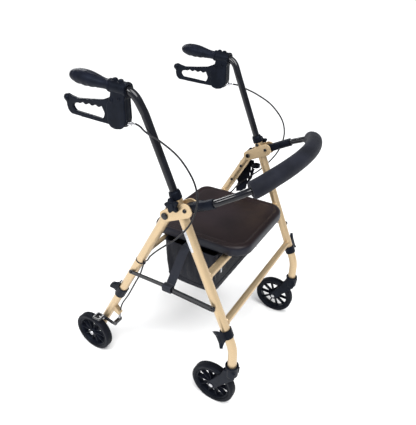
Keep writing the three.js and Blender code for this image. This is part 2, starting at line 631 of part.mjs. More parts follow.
function stickHolder() {
  const plate = slab(outline([[117, 623], [139, 622], [162, 622], [172, 613], [175, 604], [170, 596], [176, 571],
    [194, 552], [196, 541], [184, 534], [178, 521], [185, 501], [184, 480], [164, 486], [143, 502], [141, 520],
    [133, 527], [129, 539], [121, 550], [118, 568], [114, 586], [106, 594], [106, 607], [112, 618]]),
  HOLDER_INSIDE, HOLDER_INSIDE + 5);
  const slots = [[126, 596, 582], [130, 572, 558], [139, 548, 536]].map(([y, high, low]) =>
    slab(outline([[y - 2, low], [y + 2, low], [y + 2, high], [y - 2, high]]), HOLDER_INSIDE - 1, HOLDER_INSIDE + 6));
  const { at: [x, y], radius, bore, low, high } = HOLDER_RING;
  const hoop = layer(ring(radius, bore, 20), low, high).translate(x, y, 0);
  const hole = layer(disc(bore, 20), low - 10, high + 20).translate(x, y, 0);
  const spacers = [611, 549].map((z) =>
    rod([rearDepth(z), z], TRACK + LEG_RADIUS + GAP, HOLDER_INSIDE + 7, 5));
  return cut(joined(plate, hoop, ...spacers), ...slots, hole);
}
add('stick_holder', stickHolder(), moulded);

export default walker;
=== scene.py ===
"""Rollator walker: the visible surfaces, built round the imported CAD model.

Shapes are drawn in millimetres, with heights from the floor and depths from the upper front
crossbar, as the CAD model is. place() turns such a point into the row frame, in metres. Side
pieces are drawn for the left side (+X) and mirrored for the right.
"""

import json
import math
import random

import bmesh
import bpy
from mathutils import Matrix, Vector, noise


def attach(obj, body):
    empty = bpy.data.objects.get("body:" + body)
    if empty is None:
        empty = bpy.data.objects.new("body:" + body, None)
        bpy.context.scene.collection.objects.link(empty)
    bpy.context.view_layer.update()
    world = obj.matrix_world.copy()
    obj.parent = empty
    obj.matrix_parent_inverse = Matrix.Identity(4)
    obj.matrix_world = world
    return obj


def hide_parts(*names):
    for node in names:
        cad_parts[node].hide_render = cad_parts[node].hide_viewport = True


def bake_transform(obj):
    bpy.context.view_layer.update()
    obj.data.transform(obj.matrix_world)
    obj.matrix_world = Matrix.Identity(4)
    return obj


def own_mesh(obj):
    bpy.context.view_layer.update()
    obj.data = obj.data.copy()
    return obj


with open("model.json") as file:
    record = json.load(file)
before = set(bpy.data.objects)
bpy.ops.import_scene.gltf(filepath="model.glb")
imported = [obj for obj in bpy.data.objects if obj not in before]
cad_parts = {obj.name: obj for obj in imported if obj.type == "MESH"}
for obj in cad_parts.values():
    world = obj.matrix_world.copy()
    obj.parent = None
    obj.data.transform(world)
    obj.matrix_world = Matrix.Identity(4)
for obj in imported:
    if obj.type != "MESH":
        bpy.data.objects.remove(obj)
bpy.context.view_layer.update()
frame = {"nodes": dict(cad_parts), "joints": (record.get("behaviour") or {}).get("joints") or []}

# ------------------------------------------------------------------ driving dimensions (mm)
JOINTS = {joint["name"]: joint for joint in frame["joints"]}
DATUM = JOINTS["seat_flip"]["pos_m"][1] * 1000 - 4  # the crossbar's axis is 4 behind the datum
TRACK = 250
LEG_RADIUS = 14.3
LEG_BORE = 12.3
LEG_TOP = (93, 708)
LEG_LEAN = 0.412
STEM_DEPTH = -92
LEG_FOOT = 180
HINGE = (121, 658)
REAR_AXLE = (458, 75)
BACKREST_PIVOT = (57, 692)
UPPER_BAR = ((4, 485), 12.5)
LOWER_BAR = ((-58, 342), 11)
REAR_BAR = ((216, 493), 7.5)
WHEEL_RADIUS = 75
WHEEL_HALF = 13.5
REAR_WHEEL_PLANE = 284
FRONT_AXLE = (-29, 75)
HANDLE_RADIUS = 11
GRIP_PLANE = 257
GRIP_START = (269, 976.5)
GRIP_RISE = 0.09
LEVER_PIVOT = (266, 944)
STAY_REAR = (264, 413)
STAY_MIDDLE = (121, 413)
STAY_FRONT = (-32, 405)
PLATE_INSIDE = 14.8
PLATE_THICKNESS = 4
SEAT_HALF = 158
SEAT_FRONT = -66
SEAT_REAR = 258
SEAT_TOP = 545
BAG_HALF = 168
BAG_FRONT = 20
BAG_REAR = 207
BAG_BOTTOM = 348
BAG_TOP = 497

SIDES = (("left", 1), ("right", -1))
REAR_LEAN = (REAR_AXLE[0] - HINGE[0]) / (HINGE[1] - REAR_AXLE[1])


def leg_depth(height):
    return LEG_TOP[0] - LEG_LEAN * (LEG_TOP[1] - height)


def rear_depth(height):
    return HINGE[0] + REAR_LEAN * (HINGE[1] - height)


def at(x, point):
    return Vector((x, point[0], point[1]))


def place(point):
    return (Vector(point) + Vector((0, DATUM, 0))) / 1000


LEG_AXIS = Vector((0, LEG_LEAN, 1)).normalized()
REAR_AXIS = Vector((0, -REAR_LEAN, 1)).normalized()
GRIP_AXIS = Vector((0, 1, GRIP_RISE)).normalized()
AXIS_X = Vector((1, 0, 0))


# ------------------------------------------------------------------ camera, light and floor
def camera():
    data = bpy.data.cameras.new("camera")
    data.sensor_width = 36
    data.lens = 35.17
    data.shift_x = -0.0067
    data.shift_y = 0.0074
    eye = bpy.data.objects.new("camera", data)
    bpy.context.scene.collection.objects.link(eye)
    right = Vector((0.50788, -0.86133, 0.01298)).normalized()
    ahead = Vector((0.74716, 0.43296, -0.50428)).normalized()
    up = right.cross(ahead)
    turn = Matrix((right, up, -ahead)).transposed()
    eye.matrix_world = Matrix.Translation(place((-1029.7, -461.6, 1216.7))) @ turn.to_4x4()
    bpy.context.scene.camera = eye


def area_light(name, position, target, size, power):
    data = bpy.data.lights.new(name, "AREA")
    data.shape = "DISK"
    data.size = size
    data.energy = power
    lamp = bpy.data.objects.new(name, data)
    bpy.context.scene.collection.objects.link(lamp)
    lamp.location = position
    lamp.rotation_euler = (Vector(target) - Vector(position)).to_track_quat("-Z", "Y").to_euler()


def sun_light(name, direction, spread, power):
    data = bpy.data.lights.new(name, "SUN")
    data.angle = math.radians(spread)
    data.energy = power
    lamp = bpy.data.objects.new(name, data)
    bpy.context.scene.collection.objects.link(lamp)
    lamp.rotation_euler = Vector(direction).to_track_quat("-Z", "Y").to_euler()


def studio():
    scene = bpy.context.scene
    scene.view_settings.view_transform = "Standard"
    world = bpy.data.worlds.new("studio")
    scene.world = world
    world.use_nodes = True
    tree = world.node_tree
    dim = tree.nodes["Background"]
    dim.inputs["Color"].default_value = (0.93, 0.96, 1, 1)
    dim.inputs["Strength"].default_value = 0.26
    pale = tree.nodes.new("ShaderNodeBackground")
    pale.inputs["Color"].default_value = (1, 1, 1, 1)
    rays = tree.nodes.new("ShaderNodeLightPath")
    choice = tree.nodes.new("ShaderNodeMixShader")
    tree.links.new(rays.outputs["Is Camera Ray"], choice.inputs["Fac"])
    tree.links.new(dim.outputs["Background"], choice.inputs[1])
    tree.links.new(pale.outputs["Background"], choice.inputs[2])
    tree.links.new(choice.outputs["Shader"], tree.nodes["World Output"].inputs["Surface"])
    sun_light("soft_sun", (0.5, 0.75, -1.7), 45, 3.7)
    centre = (0, 0, 0.5)
    area_light("key", (-1.9, 0.6, 2.2), centre, 0.9, 26)
    area_light("rim", (0.9, 2.0, 2.0), centre, 0.8, 22)
    mesh = bpy.data.meshes.new("floor")
    reach = 60
    mesh.from_pydata([(-reach, -reach, 0), (reach, -reach, 0), (reach, reach, 0), (-reach, reach, 0)],
                     [], [(0, 1, 2, 3)])
    floor = bpy.data.objects.new("floor", mesh)
    scene.collection.objects.link(floor)
    paint = bpy.data.materials.new("floor")
    paint.use_nodes = True
    shader = paint.node_tree.nodes["Principled BSDF"]
    shader.inputs["Base Color"].default_value = (0.92, 0.92, 0.92, 1)
    shader.inputs["Roughness"].default_value = 0.95
    mesh.materials.append(paint)


# ------------------------------------------------------------------ materials
class Paint:
    """A Principled material whose colour, roughness and bump come from noise at real scales."""

    def __init__(self, name, slot, **constants):
        self.material = bpy.data.materials.new(name)
        self.slot = slot
        self.material.use_nodes = True
        self.tree = self.material.node_tree
        self.shader = self.tree.nodes["Principled BSDF"]
        for socket, value in constants.items():
            self.shader.inputs[socket.replace("_", " ")].default_value = value
        self.where = self.tree.nodes.new("ShaderNodeTexCoord").outputs["Object"]
        self.height = None

    def node(self, kind, **settings):
        made = self.tree.nodes.new(kind)
        for key, value in settings.items():
            if key in made.inputs:
                made.inputs[key].default_value = value
            else:
                setattr(made, key, value)
        return made

    def link(self, source, target):
        self.tree.links.new(source, target)

    def noise(self, scale, detail=3.0, where=None, stretch=None):
        made = self.node("ShaderNodeTexNoise", Scale=scale, Detail=detail)
        source = where or self.where
        if stretch:
            mapping = self.node("ShaderNodeMapping", Scale=stretch)
            self.link(source, mapping.inputs["Vector"])
            source = mapping.outputs["Vector"]
        self.link(source, made.inputs["Vector"])
        return made.outputs["Fac"]

    def cells(self, scale, feature="F1"):
        made = self.node("ShaderNodeTexVoronoi", Scale=scale, feature=feature)
        self.link(self.where, made.inputs["Vector"])
        return made.outputs["Distance"]

    def ramp(self, factor, stops):
        made = self.tree.nodes.new("ShaderNodeValToRGB")
        ramp = made.color_ramp
        for index, (position, colour) in enumerate(stops):
            element = ramp.elements[index] if index < 2 else ramp.elements.new(position)
            element.position = position
            element.color = (*colour, 1)
        self.link(factor, made.inputs["Fac"])
        return made.outputs["Color"]

    def colours(self, factor, dark, light, low=0.35, high=0.65):
        self.link(self.ramp(factor, [(low, dark), (high, light)]), self.shader.inputs["Base Color"])
        return self

    def roughness(self, factor, low, high):
        spread = self.node("ShaderNodeMapRange")
        spread.inputs["To Min"].default_value = low
        spread.inputs["To Max"].default_value = high
        self.link(factor, spread.inputs["Value"])
        self.link(spread.outputs["Result"], self.shader.inputs["Roughness"])
        return self

    def bump(self, factor, strength, distance):
        """Adds one layer of relief, distance metres deep, on top of those before it."""
        made = self.node("ShaderNodeBump", Strength=strength, Distance=distance)
        self.link(factor, made.inputs["Height"])
        if self.height:
            self.link(self.height, made.inputs["Normal"])
        self.height = made.outputs["Normal"]
        self.link(self.height, self.shader.inputs["Normal"])
        return self

    def bands(self, scale, direction, profile="SIN"):
        made = self.node("ShaderNodeTexWave", Scale=scale, wave_profile=profile)
        made.bands_direction = direction
        self.link(self.where, made.inputs["Vector"])
        return made.outputs["Fac"]

    def math(self, operation, first, second):
        made = self.node("ShaderNodeMath", operation=operation)
        self.link(first, made.inputs[0])
        self.link(second, made.inputs[1])
        return made.outputs["Value"]


def champagne_paint():
    paint = Paint("champagne_paint", "frame_champagne", Metallic=0.72, Coat_Weight=0.3, Coat_Roughness=0.14)
    paint.colours(paint.noise(4200, 2), (0.50, 0.36, 0.205), (0.68, 0.52, 0.32))
    paint.roughness(paint.noise(22, 4), 0.33, 0.44)
    return paint.bump(paint.noise(5200, 1), 0.12, 0.0001).bump(paint.noise(60, 2), 0.10, 0.0004)


def gloss_black():
    paint = Paint("gloss_black", "tube_black", Specular_IOR_Level=0.25, Coat_Weight=0.3, Coat_Roughness=0.06)
    paint.colours(paint.noise(30, 3), (0.004, 0.004, 0.006), (0.008, 0.009, 0.013))
    paint.roughness(paint.noise(16, 4), 0.16, 0.28)
    return paint.bump(paint.noise(240, 2), 0.08, 0.0003)


def moulded_black():
    paint = Paint("moulded_black", "moulded_black", Specular_IOR_Level=0.13, Specular_Tint=(0.6, 0.75, 1, 1))
    paint.colours(paint.noise(40, 4), (0.003, 0.0035, 0.006), (0.006, 0.007, 0.012))
    paint.roughness(paint.noise(120, 4), 0.36, 0.52)
    return paint.bump(paint.cells(1500), 0.15, 0.0002).bump(paint.noise(90, 3), 0.10, 0.0003)


def grip_rubber():
    paint = Paint("grip_rubber", "grip_rubber", Specular_IOR_Level=0.15, Specular_Tint=(0.6, 0.75, 1, 1))
    paint.colours(paint.noise(55, 3), (0.0035, 0.004, 0.0075), (0.007, 0.008, 0.015))
    paint.roughness(paint.noise(80, 4), 0.42, 0.56)
    return paint.bump(paint.cells(1100), 0.18, 0.0002)


def tyre_black():
    paint = Paint("tyre_black", "tyre_black", Specular_IOR_Level=0.13, Specular_Tint=(0.6, 0.75, 1, 1))
    paint.colours(paint.noise(25, 5), (0.003, 0.003, 0.0045), (0.008, 0.008, 0.011))
    paint.roughness(paint.noise(45, 4), 0.42, 0.62)
    return paint.bump(paint.noise(420, 4), 0.2, 0.0004)


def foam_sleeve():
    paint = Paint("foam_sleeve", "backrest_foam",
                  Specular_IOR_Level=0.13, Sheen_Weight=0.03, Sheen_Roughness=0.5)
    paint.colours(paint.noise(18, 4), (0.007, 0.008, 0.013), (0.014, 0.0155, 0.024))
    paint.roughness(paint.noise(60, 3), 0.58, 0.74)
    return paint.bump(paint.cells(900), 0.35, 0.0005).bump(paint.noise(30, 3), 0.3, 0.0012)


def seat_skin():
    """Vinyl: brown-black on top, and a cooler black on the sides below the rolled edge."""
    paint = Paint("seat_skin", "seat_cover", Specular_IOR_Level=0.22, Coat_Weight=0.05, Coat_Roughness=0.2)
    height = paint.node("ShaderNodeSeparateXYZ")
    paint.link(paint.where, height.inputs["Vector"])
    share = paint.node("ShaderNodeMapRange")
    share.inputs["From Min"].default_value = (SEAT_TOP - 11) / 1000
    share.inputs["From Max"].default_value = (SEAT_TOP - 3) / 1000
    paint.link(height.outputs["Z"], share.inputs["Value"])
    mottle = paint.noise(9, 4)
    blend = paint.node("ShaderNodeMix", data_type="RGBA")
    paint.link(share.outputs["Result"], blend.inputs[0])
    paint.link(paint.ramp(mottle, [(0.35, (0.006, 0.007, 0.013)), (0.65, (0.011, 0.012, 0.021))]),
               blend.inputs[6])
    paint.link(paint.ramp(mottle, [(0.35, (0.011, 0.0062, 0.0068)), (0.65, (0.019, 0.0112, 0.0122))]),
               blend.inputs[7])
    paint.link(blend.outputs[2], paint.shader.inputs["Base Color"])
    paint.roughness(paint.noise(35, 4), 0.34, 0.48)
    return paint.bump(paint.cells(480, "DISTANCE_TO_EDGE"), 0.3, 0.0003).bump(paint.noise(14, 2), 0.15, 0.002)


def woven(name, slot, dark, light, threads, relief):
    """Plain weave: two sets of threads that cross, with a little colour drift."""
    paint = Paint(name, slot, Specular_IOR_Level=0.25, Sheen_Weight=0.12, Sheen_Roughness=0.4)
    slanted = paint.math("ADD", paint.bands(threads, "X"), paint.bands(threads, "Y"))
    weave = paint.math("MULTIPLY", slanted, paint.bands(threads, "Z"))
    mixed = paint.math("ADD", weave, paint.noise(12, 4))
    paint.colours(mixed, dark, light, 0.3, 1.4)
    paint.roughness(paint.noise(30, 3), 0.72, 0.9)
    return paint.bump(weave, 0.4, relief).bump(paint.noise(28, 2), 0.3, 0.0012)


def plated_steel():
    paint = Paint("plated_steel", "axle_steel", Metallic=1.0)
    paint.colours(paint.noise(60, 3), (0.42, 0.42, 0.44), (0.66, 0.66, 0.68))
    paint.roughness(paint.noise(140, 3, stretch=(1, 12, 12)), 0.22, 0.38)
    return paint.bump(paint.noise(500, 2, stretch=(1, 8, 8)), 0.1, 0.0002)


def cable_jacket():
    paint = Paint("cable_jacket", "cable_jacket", Specular_IOR_Level=0.2)
    paint.colours(paint.noise(60, 3), (0.008, 0.008, 0.01), (0.016, 0.016, 0.02))
    paint.roughness(paint.noise(90, 3), 0.3, 0.42)
    return paint.bump(paint.noise(400, 2), 0.12, 0.0002)


def blank_label():
    paint = Paint("blank_label", "axle_steel", Specular_IOR_Level=0.5)
    paint.colours(paint.noise(300, 2), (0.50, 0.51, 0.54), (0.68, 0.69, 0.71))
    paint.roughness(paint.noise(80, 2), 0.35, 0.5)
    return paint.bump(paint.noise(500, 2), 0.1, 0.0001)


CHAMPAGNE = champagne_paint()
GLOSS = gloss_black()
MOULDED = moulded_black()
RUBBER = grip_rubber()
TYRE = tyre_black()
FOAM = foam_sleeve()
SKIN = seat_skin()
CLOTH = woven("bag_cloth", "bag_cloth", (0.0035, 0.004, 0.007), (0.010, 0.0115, 0.019), 190, 0.0003)
WEBBING = woven("webbing", "webbing", (0.008, 0.009, 0.014), (0.026, 0.029, 0.041), 150, 0.0005)
STEEL = plated_steel()
JACKET = cable_jacket()
LABEL = blank_label()


# ------------------------------------------------------------------ shapes: (points, faces) in mm
def merged(*shapes):
    points, faces = [], []
    for some_points, some_faces in shapes:
        start = len(points)
        points += some_points
        faces += [tuple(start + i for i in face) for face in some_faces]
    return points, faces


def moved(shape, matrix):
    points, faces = shape
    if matrix.determinant() < 0:
        faces = [tuple(reversed(face)) for face in faces]
    return [matrix @ Vector(p) for p in points], faces


def mirrored(shape):
    return moved(shape, Matrix.Scale(-1, 4, AXIS_X))


def frames_along(points):
    """A tangent, normal and binormal at each point, with no twist between them."""
    runs = [(b - a).normalized() for a, b in zip(points, points[1:])]
    tangents = [(a + b).normalized() for a, b in zip([runs[0]] + runs, runs + [runs[-1]])]
    side = tangents[0].orthogonal().normalized()
    frames = []
    for tangent in tangents:
        side = (side - tangent * side.dot(tangent)).normalized()
        frames.append((tangent, side, tangent.cross(side)))
    return frames


def ring_faces(start, rows, sides, closed=False):
    faces = []
    for row in range(rows if closed else rows - 1):
        a, b = start + row * sides, start + ((row + 1) % rows) * sides
        for i in range(sides):
            j = (i + 1) % sides
            faces.append((a + i, a + j, b + j, b + i))
    return faces


def sweep(points, radius, sides=36, bore=None):
    """A round tube along points. radius is a number or a function of the share of the way along."""
    size = radius if callable(radius) else lambda share: radius
    frames = frames_along(points)
    last = len(points) - 1

    def ring(index, r):
        _, side, cross = frames[index]
        return [points[index] + (side * math.cos(a) + cross * math.sin(a)) * r
                for a in (2 * math.pi * i / sides for i in range(sides))]

    outside = [p for i in range(last + 1) for p in ring(i, size(i / last))]
    if bore is None:
        faces = ring_faces(0, last + 1, sides)
        return outside, faces + [tuple(reversed(range(sides))), tuple(last * sides + i for i in range(sides))]
    inside = [p for i in reversed(range(last + 1)) for p in ring(i, bore)]
    return outside + inside, ring_faces(0, 2 * (last + 1), sides, closed=True)


def turned(profile, origin, axis, sides=48):
    """A solid of revolution: profile holds (radius, distance along the axis), outside going up."""
    axis = Vector(axis).normalized()
    side = axis.orthogonal().normalized()
    cross = axis.cross(side)
    points, rows = [], []
    for radius, along in profile:
        centre = Vector(origin) + axis * along
        if radius < 1e-6:
            rows.append([len(points)] * sides)
            points.append(centre)
            continue
        rows.append(list(range(len(points), len(points) + sides)))
        points += [centre + (side * math.cos(a) + cross * math.sin(a)) * radius
                   for a in (2 * math.pi * i / sides for i in range(sides))]
    faces = []
    for low, high in zip(rows, rows[1:]):
        for i in range(sides):
            j = (i + 1) % sides
            corners = list(dict.fromkeys((low[i], low[j], high[j], high[i])))
            if len(corners) > 2:
                faces.append(tuple(corners))
    return points, faces


def bevelled(profile, size=0.8):
    """Cuts the corners of a turned profile, so that its edges catch the light."""
    kept = [Vector(p) for p in profile]
    result = [kept[0]]
    for before, here, after in zip(kept, kept[1:], kept[2:]):
        back, ahead = before - here, after - here
        reach = min(size, back.length / 2.2, ahead.length / 2.2)
        result += [here + back.normalized() * reach, here + ahead.normalized() * reach]
    return [tuple(p) for p in result + [kept[-1]]]


def rounded(outline, radius, steps=6, closed=True):
    """Rounds the corners of a 2D or 3D outline."""
    points = [Vector(p) for p in outline]
    count = len(points)
    result = []
    for i, here in enumerate(points):
        if not closed and i in (0, count - 1):
            result.append(here)
            continue
        back, ahead = points[i - 1] - here, points[(i + 1) % count] - here
        turn = math.pi - back.angle(ahead)
        reach = min(radius * math.tan(turn / 2), back.length * 0.48, ahead.length * 0.48)
        start, end = here + back.normalized() * reach, here + ahead.normalized() * reach
        for k in range(steps + 1):
            t = k / steps
            result.append(start * (1 - t) ** 2 + here * 2 * t * (1 - t) + end * t ** 2)
    return result


def smooth_line(points, count):
    """A Catmull-Rom curve through points, resampled at even distances."""
    points = [Vector(p) for p in points]
    padded = [points[0] * 2 - points[1]] + points + [points[-1] * 2 - points[-2]]
    dense = []
    for a, b, c, d in zip(padded, padded[1:], padded[2:], padded[3:]):
        for k in range(24):
            t = k / 24
            dense.append(0.5 * (2 * b + (c - a) * t + (2 * a - 5 * b + 4 * c - d) * t ** 2
                                + (3 * b - a - 3 * c + d) * t ** 3))
    dense.append(points[-1])
    return resampled(dense, count)


def resampled(line, count):
    lengths = [0]
    for a, b in zip(line, line[1:]):
        lengths.append(lengths[-1] + (b - a).length)
    result, k = [], 0
    for i in range(count):
        goal = lengths[-1] * i / (count - 1)
        while k < len(line) - 2 and lengths[k + 1] < goal:
            k += 1
        share = (goal - lengths[k]) / max(lengths[k + 1] - lengths[k], 1e-9)
        result.append(line[k].lerp(line[k + 1], min(share, 1)))
    return result


def link_outline(a, a_radius, b, b_radius, steps=20):
    heading = math.atan2(b[1] - a[1], b[0] - a[0])
    outline = []
    for centre, radius, start in ((b, b_radius, heading - math.pi / 2), (a, a_radius, heading + math.pi / 2)):
        for k in range(steps + 1):
            angle = start + math.pi * k / steps
            outline.append((centre[0] + radius * math.cos(angle), centre[1] + radius * math.sin(angle)))
    return outline


def plate(outlines, from_x, to_x, bevel=0.8):
    """A flat plate in the depth-height plane. The first outline is its edge, the others are holes."""
    curve = bpy.data.curves.new("plate", "CURVE")
    curve.dimensions = "2D"
    curve.fill_mode = "BOTH"
    for outline in outlines:
        spline = curve.splines.new("POLY")
        spline.points.add(len(outline) - 1)
        for corner, (y, z) in zip(spline.points, outline):
            corner.co = (y, z, 0, 1)
        spline.use_cyclic_u = True
    curve.extrude = (to_x - from_x) / 2 - bevel
    curve.bevel_depth = bevel
    curve.bevel_resolution = 2
    curve.offset = -bevel
    holder = bpy.data.objects.new("plate", curve)
    bpy.context.scene.collection.objects.link(holder)
    mesh = bpy.data.meshes.new_from_object(holder.evaluated_get(bpy.context.evaluated_depsgraph_get()))
    middle = (from_x + to_x) / 2
    points = [Vector((v.co.z + middle, v.co.x, v.co.y)) for v in mesh.vertices]
    faces = [tuple(p.vertices) for p in mesh.polygons]
    bpy.data.objects.remove(holder)
    bpy.data.curves.remove(curve)
    bpy.data.meshes.remove(mesh)
    return points, faces


def rod(centre, from_x, to_x, radius, bevel=0.5, sides=32):
    profile = [(0, from_x), (radius, from_x), (radius, to_x), (0, to_x)]
    return turned(bevelled(profile, bevel), (0, *centre), AXIS_X, sides)


def bolt_head(centre, from_x, to_x, radius, socket=0.45):
    """A domed head with a round socket in it. It points from from_x towards to_x."""
    rise = to_x - from_x
    profile = [(0, 0), (radius, 0), (radius, 0.45 * rise), (radius * 0.86, 0.85 * rise), (radius * 0.7, rise),
               (radius * socket, rise), (radius * socket, 0.5 * rise), (0, 0.5 * rise)]
    if rise < 0:
        return turned([(r, -h) for r, h in profile], (from_x, *centre), -AXIS_X, 24)
    return turned(profile, (from_x, *centre), AXIS_X, 24)


def softened(node, voxel, passes, keep=0.3):
    """The CAD node's own shape with its edges rounded, as a moulding's are. Left-side nodes only."""
    source = frame["nodes"][node]
    mesh = source.data.copy()
    mesh.materials.clear()
    holder = bpy.data.objects.new("softened", mesh)
    bpy.context.scene.collection.objects.link(holder)
    remesh = holder.modifiers.new("remesh", "REMESH")
    remesh.mode = "VOXEL"
    remesh.voxel_size = voxel / 1000
    relax = holder.modifiers.new("relax", "SMOOTH")
    relax.factor = 0.5
    relax.iterations = passes
    thin = holder.modifiers.new("thin", "DECIMATE")
    thin.ratio = keep
    final = bpy.data.meshes.new_from_object(holder.evaluated_get(bpy.context.evaluated_depsgraph_get()))
    points = [v.co * 1000 - Vector((0, DATUM, 0)) for v in final.vertices]
    faces = [tuple(p.vertices) for p in final.polygons]
    bpy.data.objects.remove(holder)
    bpy.data.meshes.remove(final)
    bpy.data.meshes.remove(mesh)
    return points, faces


# ------------------------------------------------------------------ pieces
def made(name, shape, paint, sharp=38):
    points, faces = shape
    mesh = bpy.data.meshes.new(name)
    mesh.from_pydata([place(p) for p in points], [], faces)
    mesh.polygons.foreach_set("use_smooth", [True] * len(mesh.polygons))
    mesh.set_sharp_from_angle(angle=math.radians(sharp))
    mesh.materials.append(paint.material)
    mesh.validate()
    piece = bpy.data.objects.new(name, mesh)
    bpy.context.scene.collection.objects.link(piece)
    return piece


def show(name, shape, paint, body, nodes=(), sharp=38):
    piece = made(name, shape, paint, sharp)
    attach(piece, body)
    if nodes:
        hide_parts(*nodes)
    return piece


def show_pair(name, shape, paint, body, node=None, sharp=38):
    """body and node are given without their side; a body that both sides share has no {side}."""
    for side, sign in SIDES:
        here = shape if sign > 0 else mirrored(shape)
        nodes = [f"{side}_{node}"] if node else []
        show(f"{side}_{name}", here, paint, body.format(side=side), nodes, sharp)


# ------------------------------------------------------------------ frame tubes
KNEE = at(TRACK, (STEM_DEPTH, LEG_TOP[1] - (LEG_TOP[0] - STEM_DEPTH) / LEG_LEAN))


def front_leg_line():
    corners = [at(TRACK, LEG_TOP), KNEE, at(TRACK, (STEM_DEPTH, LEG_FOOT))]
    return rounded(corners, 130, 14, closed=False)


def rear_leg_line():
    return [at(TRACK, HINGE) + REAR_AXIS * 16, at(TRACK, REAR_AXLE) - REAR_AXIS * 16]


def weld(centre, radius, x):
    """A low bead where a crossbar meets the leg."""
    profile = [(radius - 1, -3.2), (radius + 1.4, -2.6), (radius + 2.3, -0.8), (radius + 2.6, 1.2),
               (radius + 1.2, 3.0), (radius - 1, 3.4)]
    return turned(profile, (x, *centre), AXIS_X, 36)


def crossbar(name, bar, leg_axis, body):
    """A bar whose ends follow the round of the legs that they are welded to."""
    (depth, height), radius = bar
    sides = 40
    ends = {1: [], -1: []}
    for k in range(sides):
        angle = 2 * math.pi * k / sides
        y, z = radius * math.cos(angle), radius * math.sin(angle)
        off_axis = y * leg_axis.z - z * leg_axis.y
        reach = TRACK - math.sqrt(max((LEG_RADIUS - 0.5) ** 2 - off_axis ** 2, 0))
        for sign in (1, -1):
            ends[sign].append(Vector((sign * reach, depth + y, height + z)))
    middle = TRACK - LEG_RADIUS + 0.5
    points = ends[-1] + ends[1] + [Vector((-middle, depth, height)), Vector((middle, depth, height))]
    faces = ring_faces(0, 2, sides)
    for k in range(sides):
        j = (k + 1) % sides
        faces += [(j, k, 2 * sides), (sides + k, sides + j, 2 * sides + 1)]
    bead = weld((depth, height), radius, TRACK - LEG_RADIUS + 1)
    show(name, merged((points, [tuple(reversed(f)) for f in faces]), bead, mirrored(bead)),
         CHAMPAGNE, body, [name])


def frame_tubes():
    show_pair("front_leg", sweep(front_leg_line(), LEG_RADIUS, 40, LEG_BORE),
              CHAMPAGNE, "front_frame", "front_leg")
    cable_stop = plate([rounded([(364, 214), (350, 197), (346, 189), (352, 180), (376, 191)], 2.5)],
                       TRACK - 8, TRACK + 8, 0.7)
    rear = sweep(rear_leg_line(), LEG_RADIUS, 40, LEG_BORE)
    show_pair("rear_leg", merged(rear, cable_stop), CHAMPAGNE, "rear_frame", "rear_leg")
    crossbar("upper_front_crossbar", UPPER_BAR, LEG_AXIS, "front_frame")
    crossbar("lower_front_crossbar", LOWER_BAR, LEG_AXIS, "front_frame")
    crossbar("rear_crossbar", REAR_BAR, REAR_AXIS, "rear_frame")


# ------------------------------------------------------------------ hinges
def hinges():
    outline = link_outline(HINGE, 17, BACKREST_PIVOT, 21, 28)
    outer_from = TRACK + PLATE_INSIDE
    inner_to = TRACK - PLATE_INSIDE
    show_pair("outer_hinge_plate", plate([outline], outer_from, outer_from + PLATE_THICKNESS, 1.0),
              CHAMPAGNE, "front_frame", "outer_hinge_plate")
    show_pair("inner_hinge_plate", plate([outline], inner_to - PLATE_THICKNESS, inner_to, 1.0),
              CHAMPAGNE, "front_frame", "inner_hinge_plate")
    face = outer_from + PLATE_THICKNESS
    head = turned(bevelled([(0, face + 0.2), (10, face + 0.2), (10, face + 3.4),
                            (7.5, face + 4.9), (0, face + 4.9)],
                           0.7), (0, *HINGE), AXIS_X, 40)
    slot = plate([rounded([(112.8, 659.1), (112.8, 656.9), (129.2, 656.9), (129.2, 659.1)], 0.4)],
                 face + 4.6, face + 5.3, 0.2)
    shank = rod(HINGE, 2 * TRACK - face - 5, face + 0.4, 5, 0.3, 20)
    nut = rod(HINGE, 2 * TRACK - face - 5, 2 * TRACK - face - 0.3, 8, 0.8, 6)
    show_pair("fold_pin", merged(head, slot, shank, nut), GLOSS, "front_frame", "fold_pin")
    front_bolts = merged(bolt_head(BACKREST_PIVOT, face + 0.2, face + 4, 5.6),
                         bolt_head(BACKREST_PIVOT, 2 * TRACK - face - 0.2, 2 * TRACK - face - 4, 5.6))
    show_pair("backrest_bolt", front_bolts, GLOSS, "front_frame")
    leg_end = at(TRACK, HINGE) + REAR_AXIS * 16
    cap = turned(bevelled([(0, 0.2), (LEG_RADIUS + 0.3, 0.2), (LEG_RADIUS + 0.3, 2.6),
                            (9, 6.2), (0, 6.8)], 1.0),
                 leg_end, REAR_AXIS, 36)
    tail = turned(bevelled([(0, 0), (4.4, 0), (4.4, 26), (2.6, 31), (0, 31)], 0.8),
                  leg_end + Vector((0, 13, 1)), (REAR_AXIS * -1), 16)
    show_pair("leg_plug", merged(cap, tail), MOULDED, "rear_frame")


